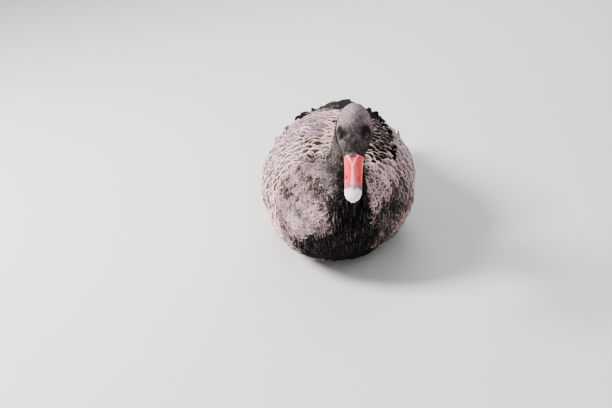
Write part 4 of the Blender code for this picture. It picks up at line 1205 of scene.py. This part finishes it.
def wing_feathers(lie, side, finish):
    """The rows of a folded wing, in three pieces: scapulars, coverts and ruffled feathers."""
    draw = np.random.default_rng(40 + (side > 0))
    at, v = wing_places(draw)
    count = len(at)
    low, high = read_wing(WING, at, 1, 2)
    angle = np.radians(low + (high - low) * v)
    angle = angle if side > 0 else math.pi - angle
    bent = curled(at, v, side) > np.where(at > 6.2, 0.72, 0.45)
    wisp = bell((at - LOOSE[side][0]) / 0.30, (v - LOOSE[side][1]) / 0.035)
    upright = (side > 0) * np.exp(-((at - UPRIGHT[0]) / 0.45) ** 4 - ((v - UPRIGHT[1]) / 0.035) ** 4)
    length, width = read_wing(WING_ROWS, at, 2, 3)
    length = length * draw.uniform(0.90, 1.10, count) * np.where(v < 0.4, 0.92, 1.0) * (1 - 0.42 * bent)
    width = width * draw.uniform(0.92, 1.08, count) * (1 - (0.36 + 0.30 * ease(at, 5.6, 6.6)) * bent)
    width = width * (1 - 0.55 * wisp)
    turns = draw.uniform(-0.05, 0.05, count) * (1 + 5 * np.maximum(bent, wisp))
    roots = skinned_trunk(at, angle)[0]
    points, outs, ways = follow(lie, roots, length, turns, LONG_ROWS)
    points = points + outs * (ease(points[..., 1], 0.185, 0.245) * OVER_TAIL)[..., None]
    place = lie.where(roots)[0]
    marks_and_light = wing_marks_and_light(at, v, side, markings_and_light(roots, place)) * (1 - upright)[:, None]
    spots = unwrapped(place)
    standing = 0.0011 * (side < 0) * ease(v, 0.86, 0.99) + 0.013 * upright
    groups = (("scapulars_", (v > 0.5) & ~bent), ("coverts_", (v <= 0.5) & ~bent), ("ruffled_", bent))
    for name, chosen in groups:
        n, loose, hanging = int(chosen.sum()), name == "ruffled_", wisp[chosen]
        lifted = 0.011 * (1 - ease(at, 4.2, 5.8)) * ease(v, *LIFTED[side]) * draw.uniform(0.5, 1.3, count)
        rise = (0.0070 if loose else 0.0062) * draw.uniform(0.88, 1.15, n) + lifted[chosen] + standing[chosen]
        if loose:
            curl, twist = draw.uniform(0.0, 0.0075, n), draw.uniform(-0.75, 0.75, n)
        else:
            curl = draw.uniform(-0.0005, 0.0015, n) + hanging * draw.uniform(0.004, 0.014, n)
            twist = side * 0.05 + draw.uniform(-0.03, 0.03, n) * (1 + 20 * hanging)
        wave = (0.0032 if loose else 0.0006) * draw.uniform(0.6, 1.3, n)
        sizes = (length[chosen], width[chosen], 0.0008, rise, curl, 0.12, twist, wave)
        paths = tuple(part[chosen] for part in (points, outs, ways))
        name += "left" if side > 0 else "right"
        vanes(name, WING_FEATHER, paths, sizes, marks_and_light[chosen], spots[chosen], draw, finish, "wing_plumage")


# The fans of the tail: how many, root height and depth, length, width, droop, share of spread.
TAIL_FANS = {
    "rectrices": (18, 0.1385, 0.246, 0.104, 0.0215, 0.006, 1.0),
    "upper_tail_coverts": (9, 0.1500, 0.236, 0.072, 0.0240, 0.004, 0.85),
    "under_tail_coverts": (8, 0.1235, 0.240, 0.086, 0.0240, -0.008, 0.85),
}
TAIL_FAN, TAIL_ROOT_SPREAD = math.radians(27), 0.020
TAIL_MARKS = (0.30, 0.16, 0.05)


def tail_feathers(lie, name, finish):
    """One fan of the tail, each feather lying a little over the next."""
    count, height, behind, length, width, droop, share = TAIL_FANS[name]
    draw = np.random.default_rng(len(name))
    spread = (2 * (np.arange(count) + 0.5) / count - 1) * share
    turn = spread * TAIL_FAN + draw.uniform(-0.02, 0.02, count)
    lengths = length * (1 - 0.15 * spread ** 2) * draw.uniform(0.97, 1.02, count)
    ahead = np.stack([np.sin(turn), np.cos(turn), 0 * turn], 1)
    rise = height - 0.006 * np.abs(spread) - 0.0010 * (np.arange(count) % 2)
    root = np.stack([spread * TAIL_ROOT_SPREAD, np.full(count, behind), rise], 1)
    t = np.asarray(LONG_ROWS)
    points = root[:, None] + ahead[:, None] * (lengths[:, None] * t)[..., None]
    points[..., 2] -= droop * t ** 1.5
    outs = unit(np.stack([np.sin(spread * 0.25), 0 * spread, np.cos(spread * 0.25)], 1))[:, None] + 0 * points
    paths = points, outs, ahead[:, None] + 0 * points
    marks_and_light = np.tile(TAIL_MARKS, (count, 1))
    sizes = (lengths, width * draw.uniform(0.95, 1.05, count), 0.0, 0.0, 0.0, 0.08, 0.05, 0.0008)
    spots = unwrapped(lie.where(root)[0])
    vanes(name, TAIL_FEATHER, paths, sizes, marks_and_light, spots, draw, finish, "wing_plumage")


# The bill.

BILL_SIDES, JAW_SIDES = 72, 56
# Both halves lie this far ahead of their tables.
BILL_AHEAD = 0.0003
# The upper bill's hidden beginnings on the face: how far back each lies, and how far off the face.
BILL_STARTS = (0.0075, 0.0060, 0.0040, 0.0022, 0.0010)
BILL_TUCK = ((0.0, 0.0060, 0.0075), (0.0006, 0.0003, -0.0022))
FACE_MIDDLE = np.array([0.0, 0.0, 0.006])
# The rings that round off its tip: how far ahead, and their share of the last full ring.
BILL_TIP = ((0.0007, 0.86), (0.0012, 0.62), (0.0015, 0.30))
NAIL_FORWARD, NAIL_WIDTH, NAIL_LENGTH = 0.0625, 0.0068, 0.0085


def bill_ring(forward):
    """A section of the upper bill, with its ridge line, nail, cutting edge and nostrils."""
    at = np.interp(forward, UPPER_BILL[:, 0], np.arange(len(UPPER_BILL)))
    width, ridge, edge = rows_at(UPPER_BILL, at)[1:4]
    c, s = np.cos(circle(BILL_SIDES)), np.sin(circle(BILL_SIDES))
    upper = s > 0
    x = width * spow(c, 0.8)
    up = np.where(upper, edge + (ridge - edge) * s, edge - 0.0004 * s)
    culmen = 0.0007 * bell(x / 0.0032) * ease(forward, 0.010, 0.022)
    culmen = culmen * (1 - ease(forward, 0.050, 0.058)) * upper
    from_nail = np.hypot(x / NAIL_WIDTH, (forward - NAIL_FORWARD) / NAIL_LENGTH)
    nail = 0.0008 * (1 - ease(from_nail, 0.82, 1.02)) * upper
    tomium = -0.0005 * bell((up - edge - 0.0022) / 0.0008) * upper * ease(forward, 0.0, 0.006)
    out_from, along_from = np.abs(x) - NOSTRIL_OUT, forward - NOSTRIL_FORWARD
    slot = (out_from / 0.0019) ** 2 + (along_from / (NOSTRIL_LENGTH / 2)) ** 2
    hole = -0.0024 * np.exp(-slot ** 1.6) * (s > 0.1)
    from_rim = np.hypot(out_from / 0.0030, along_from / (NOSTRIL_LENGTH / 1.5)) - 1
    rim = 0.0005 * bell(from_rim / 0.25) * (s > 0.1)
    out = unit(np.stack([c * 0.7, np.maximum(np.abs(s), 0.05) * np.sign(s + 1e-9)], 1))
    lift = culmen + nail + tomium + hole + rim
    ahead = np.full(BILL_SIDES, forward + BILL_AHEAD)
    return np.stack([x + out[:, 0] * lift, ahead, up + out[:, 1] * lift * upper], 1)


def face_rings():
    """The upper bill's beginnings, close round the face and under its feathers."""
    rings = []
    for back in BILL_STARTS:
        at = np.interp(-back, HEAD[:, 0], np.arange(len(HEAD)))
        ring = from_head(head(np.full(BILL_SIDES, at), circle(BILL_SIDES), -HEAD_COAT))
        feathered = bell(ring[:, 0] / 0.0058) * (ring[:, 2] > 0.010) + (ring[:, 2] < -0.001)
        lift = np.interp(back, *BILL_TUCK) - 0.0026 * np.clip(feathered, 0, 1)
        ring = ring + unit((ring - FACE_MIDDLE) * (1, 0, 1)) * lift[:, None]
        ring[:, 2] = np.maximum(ring[:, 2], -0.0008)
        rings.append(ring)
    return rings


def upper_bill(finish):
    """The upper bill, from the face to its blunt tip."""
    forwards = np.concatenate([np.linspace(0, 0.055, 70), np.linspace(0.0556, 0.0690, 30)])
    rings = [bill_ring(forward) for forward in forwards]
    last = rings[-1]
    middle = last.mean(0)
    for ahead, share in BILL_TIP:
        rings.append(middle + (0, ahead, -0.4 * ahead) + (last - middle) * share)
    bill_half("bill_upper", face_rings() + rings, finish)


def lower_bill(finish):
    """The lower bill, almost flat above, with a soft groove below."""
    c, s = np.cos(circle(JAW_SIDES)), np.sin(circle(JAW_SIDES))
    rings = []
    for forward, width, edge, keel in rows_at(LOWER_BILL, np.linspace(0, len(LOWER_BILL) - 1, 60)):
        up = np.where(s > 0, edge - 0.0003 - 0.0006 * s, edge - 0.0009 + (edge - keel) * s)
        groove = 0.0009 * bell(width * c / 0.0045) * (s < 0) * (1 - ease(forward, 0.040, 0.055))
        ahead = np.full(JAW_SIDES, forward + BILL_AHEAD)
        rings.append(np.stack([width * spow(c, 0.8), ahead, up + groove], 1))
    bill_half("bill_lower", rings, finish)


def bill_half(node, rings, finish):
    """Half of the bill, from its rings in the head's own axes."""
    rings = np.array(rings)
    obj = loft(node + "_horn", in_head(rings.reshape(-1, 3)).reshape(rings.shape))
    attribute(obj, "bill", from_head(corners_of(obj)) * 100)
    smooth_by(obj, 50)
    keep(obj, node, finish=finish, slot="bill")


# The bill's colours: two reds and those of its grain and of the painted shade on its sides, the ridge line,
# partly a painted highlight, the dark band, the pinks of the tip, and the painted shade in the nostrils.
CRIMSON, SCARLET = (0.70, 0.008, 0.016), (0.94, 0.030, 0.042)
CORAL, SIDE_SHADE_RED = (1.0, 0.20, 0.12), (0.45, 0.006, 0.010)
RIDGE_PINK, BAND_GREY = (1.0, 0.49, 0.61), (0.14, 0.115, 0.15)
TIP_PINK, TIP_WHITE = (0.95, 0.70, 0.80), (1.0, 0.90, 0.97)
NOSTRIL_SHADE = (0.10, 0.008, 0.010)


def bill_finish():
    """Red horn with a pale ridge line, partly a painted highlight, a grey band and a pale pink tip and nail,
    with painted shade on its sides and in its nostrils. Its attribute says how far to the left, forward and
    up a point lies, in centimetres."""
    made = Finish("bill_horn", Roughness=0.42, Coat_Weight=0.08, Coat_Roughness=0.25)
    left, forward, up = made.mark("bill")
    aside = left.size()
    cloudy, fine = made.noise(260.0, 3.0), made.noise(900.0, 2.0)
    grained = made.noise(1.0, 3.0, made.joined(left * 7.0, forward * 0.9, up * 4.0))
    red = made.mix(cloudy, CRIMSON, SCARLET)
    red = made.mix(grained.between(0.52, 0.75) * 0.35, red, CORAL)
    # The bill's outer sides are mixed towards a darker red: painted shade.
    red = made.mix((aside / 1.5).between(0.55, 1.0) * 0.35, red, SIDE_SHADE_RED)
    # A pale line along the ridge, forking at its base: partly the ridge's own pale colour, partly a painted
    # highlight on the glossy ridge.
    inner = (1 - forward / 1.35).math("MAXIMUM", 0.0) * 0.62
    spread = 0.19 + (forward / 5.0) ** 2.0 * 0.22
    line = (1 - ((aside - inner).size() / spread).between(0.15, 1.55)) * up.between(0.2, 0.5)
    colour = made.mix(line * (0.72 + cloudy * 0.35), red, RIDGE_PINK)
    wavy = forward + (cloudy - 0.5) * 0.45 + (made.noise(110.0, 1.0) - 0.5) * 0.7 - aside * aside * 0.05
    band = wavy.between(4.05, 4.35) * (1 - wavy.between(4.95, 5.35))
    colour = made.mix(band * fine.between(0.28, 0.52) * (1 - line * 0.5), colour, BAND_GREY)
    pink = made.mix(fine * 0.6 + cloudy * 0.4, TIP_PINK, TIP_WHITE)
    colour = made.mix(wavy.between(4.80, 5.15) * (0.80 + 0.20 * cloudy), colour, pink)
    # The nostril slots, already cut as hollows, are darkened: painted shade.
    from_slot = (aside - NOSTRIL_OUT * 100).size() * 8 + (forward - NOSTRIL_FORWARD * 100).size() * 2.3
    colour = made.mix((1 - from_slot.between(0.55, 1.2)) * 0.8, colour, NOSTRIL_SHADE)
    return made.paint(colour, fine + cloudy * 2, 0.0003, 0.25)


# The eyes.

EYE_SIDES, EYE_ROWS = 40, 28
LID_SIDES, FOLD_SIDES = 56, 20


def across_look(look):
    """The ways across and up, seen along the way an eye looks."""
    across = unit(np.cross(look, HEAD_AXES[2]))
    return across, np.cross(across, look)


def eyeball(name, centre, look):
    """An eyeball whose pole lies along the way it looks."""
    across, upward = across_look(look)
    turn, tilt = np.meshgrid(circle(EYE_SIDES), np.linspace(0.02, math.pi - 0.02, EYE_ROWS))
    flat = across * np.cos(turn)[..., None] + upward * np.sin(turn)[..., None]
    rings = centre + EYE_RADIUS * (flat * np.sin(tilt)[..., None] + look * np.cos(tilt)[..., None])
    obj = loft(name, rings, False)
    off_look = np.clip(unit(corners_of(obj) - centre) @ look, -1, 1)
    attribute(obj, "iris", np.degrees(np.arccos(off_look)))
    return obj


def lids(name, centre, look):
    """Both lids as one ring round the eye, thicker above, with a fold that runs out to the face."""
    across, upward = across_look(look)
    rings = []
    for turn in circle(LID_SIDES):
        flat = across * math.cos(turn) + upward * math.sin(turn)
        upper = ease(math.sin(turn), -0.2, 0.7)
        open_by = math.radians(50 + 6 * abs(math.cos(turn)) ** 3 - 5 * upper)
        up = flat * math.sin(open_by) + look * math.cos(open_by)
        along = flat * math.cos(open_by) - look * math.sin(open_by)
        core, thick = centre + EYE_RADIUS * 0.975 * up, 0.00055 + 0.00025 * upper
        for fold in circle(FOLD_SIDES):
            c, s = math.cos(fold), math.sin(fold)
            reach = 4.6 if c > 0 else 1.0
            rings.append(core + along * thick * c * reach + up * thick * (s - 1.6 * max(c, 0) ** 2))
    first = np.arange(FOLD_SIDES)
    after, last = (first + 1) % FOLD_SIDES, (LID_SIDES - 1) * FOLD_SIDES
    closing = np.stack([last + first, last + after, after, first], 1)
    faces = np.concatenate([grid_faces(LID_SIDES, FOLD_SIDES, True), closing])
    obj = mesh_object(name, np.array(rings), faces)
    mend_normals(obj)
    return obj


def make_eyes(eye_skin, lid_skin):
    """Both eyeballs and their lids."""
    for word, side in SIDES:
        centre, look = eye_look(side)
        centre, look = in_head(centre), look @ HEAD_AXES
        keep(eyeball("eyeball_" + word, centre, look), "eye_" + word, finish=eye_skin, slot="eye")
        keep(lids("lid_" + word, centre, look), finish=lid_skin, slot="neck_plumage")


def eye_finish():
    """A dark wine-brown iris round a black pupil, under a clear wet surface. Its attribute is the
    angle off the way the eye looks, in degrees."""
    made = Finish("eye", Roughness=0.09, Specular_IOR_Level=0.22)
    angle = made.node("ShaderNodeAttribute", {"attribute_name": "iris"}, out="Fac")
    iris = made.mix(made.noise(900.0, 3.0), (0.020, 0.003, 0.002), (0.060, 0.010, 0.007))
    colour = made.mix(angle.between(24, 28), (0.0008, 0.0008, 0.0008), iris)
    return made.paint(made.mix(angle.between(40, 48), colour, (0.002, 0.0015, 0.0015)))


def lid_finish():
    """Bare wrinkled black skin round the eye."""
    made = Finish("lid", Roughness=0.6, Specular_IOR_Level=0.2)
    folds = made.noise(1400.0, 3.0)
    return made.paint(made.mix(folds, (0.0025, 0.002, 0.002), (0.010, 0.008, 0.008)), folds, 0.0003, 0.6)


# The feet and lower legs, tucked under.

# The toes: where they meet, how they spread in degrees, and their lengths.
TOES_MEET = (0.074, 0.083)
TOES = ((-21.0, 0.0903), (3.0, 0.105), (27.0, 0.0945))
# A claw from root to point: share of its toe, height, radius.
CLAW = np.array((
    (0.90, 0.0026, 0.0022),
    (0.94, 0.0032, 0.0029),
    (0.99, 0.0034, 0.0024),
    (1.04, 0.0024, 0.0014),
    (1.085, 0.0010, 0.0004),
))
LEG_VOXEL = 0.0010


def claw(side, spread, length):
    """The claw of one toe, drawn along the way it points."""
    turn = math.radians(spread)
    ahead = np.array([side * math.sin(turn), -math.cos(turn), 0.0])
    across = np.array([-ahead[1], ahead[0], 0.0])
    turns = circle(12)[:, None]
    rings = []
    for share, height, radius in rows_at(CLAW, np.linspace(0, len(CLAW) - 1, 16)):
        foot = np.array([side * TOES_MEET[0], TOES_MEET[1], max(height, radius + 0.0001)])
        middle = foot + ahead * length * share
        rings.append(middle + radius * (across * np.cos(turns) * 0.8 + np.array([0, 0, 1.0]) * np.sin(turns)))
    return loft("claw", rings)


def make_feet(frame, finish, horn):
    """The scaly skin of tarsi and feet over their solids, and the claws."""
    for word, side in SIDES:
        for node in ("tarsus_" + word, "foot_" + word):
            piece = bpy.data.objects.new(node + "_skin", frame["nodes"][node].data.copy())
            bpy.context.scene.collection.objects.link(piece)
            remesh(piece, LEG_VOXEL, 3)
            piece.data.shade_smooth()
            keep(piece, node, finish=finish, slot="leg_skin")
        claws = join("claws_" + word, [claw(side, *toe) for toe in TOES])
        keep(claws, finish=horn, slot="leg_skin").data.shade_smooth()


def claw_finish():
    """Smooth black horn, a little browner where it is worn."""
    made = Finish("claw_horn", Roughness=0.35)
    worn = made.noise(300.0, 3.0)
    return made.paint(made.mix(worn, (0.006, 0.005, 0.005), (0.034, 0.026, 0.022)), worn, 0.0003, 0.3)


def leg_finish():
    """Dull grey-black skin of small scales."""
    made = Finish("leg_skin", Roughness=0.6)
    sockets = {"Vector": made.place(), "Scale": 420.0}
    scales = made.node("ShaderNodeTexVoronoi", {"feature": "DISTANCE_TO_EDGE"}, sockets)
    patchy = made.noise(90.0, 3.0)
    colour = made.mix(scales.between(0.0, 0.12), (0.010, 0.009, 0.009), (0.040, 0.036, 0.037))
    colour = made.mix(patchy * 0.5, colour, (0.055, 0.048, 0.046))
    return made.paint(colour, scales.between(0.0, 0.18), 0.0005, 0.7)


def main():
    skin = make_skin()
    lie = Lie(skin)
    points = corners_of(skin)
    place = lie.where(points)[0]
    attribute(skin, "marks_and_light", markings_and_light(points, place))
    bake_map(skin, unwrapped(place))
    keep(skin, "torso", "neck_lower", "neck_middle", "neck_upper", "head", "wing_left", "wing_right", "tail",
         "shin_left", "shin_right", finish=skin_finish(), slot="body_plumage")
    small_feathers(lie, plumage_finish("plumage", (0.73, 0.87)), short_finish())
    rows = plumage_finish("wing_rows", (0.80, 0.92))
    for side in (1, -1):
        wing_feathers(lie, side, rows)
    for name in TAIL_FANS:
        tail_feathers(lie, name, rows)
    horn = bill_finish()
    upper_bill(horn)
    lower_bill(horn)
    make_eyes(eye_finish(), lid_finish())
    make_feet(frame, leg_finish(), claw_finish())


# The stage.

FLOOR_REACH = 30
SKY_COLOUR, SKY_STRENGTH = (0.86, 0.92, 1.0, 1.0), 0.60
# The lamps: name, place, where it points, size, power, colour.
LAMPS = (
    ("key", (-2.0, -0.2, 1.85), (0, -0.1, 0.15), 0.9, 262.0, (1.0, 0.955, 0.935)),
    ("fill", (0.9, -2.0, 1.6), (0, -0.1, 0.15), 1.8, 26.0, (1.0, 0.97, 0.95)),
    ("back", (0.2, 2.2, 1.8), (0, 0, 0.2), 1.4, 62.0, (0.95, 0.97, 1.0)),
)
CAMERA_PLACE = (0.1433, -1.8963, 0.94)
CAMERA_BEARING, CAMERA_DIP, CAMERA_ROLL = math.radians(6.5), math.radians(25.0), math.radians(-5.5)
LENS, SENSOR = 58.8, 36.0


def lay_floor():
    """A pale floor with faint specks."""
    r = FLOOR_REACH
    floor = mesh_object("floor", [(-r, -r, 0), (r, -r, 0), (r, r, 0), (-r, r, 0)], [(0, 1, 2, 3)], False)
    ground = Finish("floor", Roughness=0.85)
    colour = ground.mix(ground.noise(40.0, 4.0), (0.60, 0.60, 0.585), (0.64, 0.64, 0.625))
    floor.data.materials.append(ground.paint(colour))


def light_stage():
    """A cool dim sky, and soft lamps at the picture's left, in front and behind."""
    sky = bpy.data.worlds.new("sky")
    sky.use_nodes = True
    background = sky.node_tree.nodes["Background"]
    background.inputs["Color"].default_value = SKY_COLOUR
    background.inputs["Strength"].default_value = SKY_STRENGTH
    bpy.context.scene.world = sky
    for name, place, aim, size, power, colour in LAMPS:
        lamp = bpy.data.lights.new(name, "AREA")
        lamp.energy, lamp.size, lamp.color = power, size, colour
        holder = bpy.data.objects.new(name, lamp)
        holder.location = place
        holder.rotation_euler = (Vector(aim) - Vector(place)).to_track_quat("-Z", "Y").to_euler()
        bpy.context.scene.collection.objects.link(holder)


def aim_camera():
    """The photo's camera."""
    lens = bpy.data.cameras.new("camera")
    lens.lens, lens.sensor_width = LENS, SENSOR
    camera = bpy.data.objects.new("camera", lens)
    across, on, level = math.sin(CAMERA_BEARING), math.cos(CAMERA_BEARING), math.cos(CAMERA_DIP)
    ahead = Vector((-across * level, on * level, -math.sin(CAMERA_DIP)))
    turn = ahead.to_track_quat("-Z", "Y").to_matrix() @ Matrix.Rotation(CAMERA_ROLL, 3, "Z")
    camera.matrix_world = Matrix.Translation(CAMERA_PLACE) @ turn.to_4x4()
    bpy.context.scene.collection.objects.link(camera)
    bpy.context.scene.camera = camera


main()
lay_floor()
light_stage()
aim_camera()
bpy.context.view_layer.update()
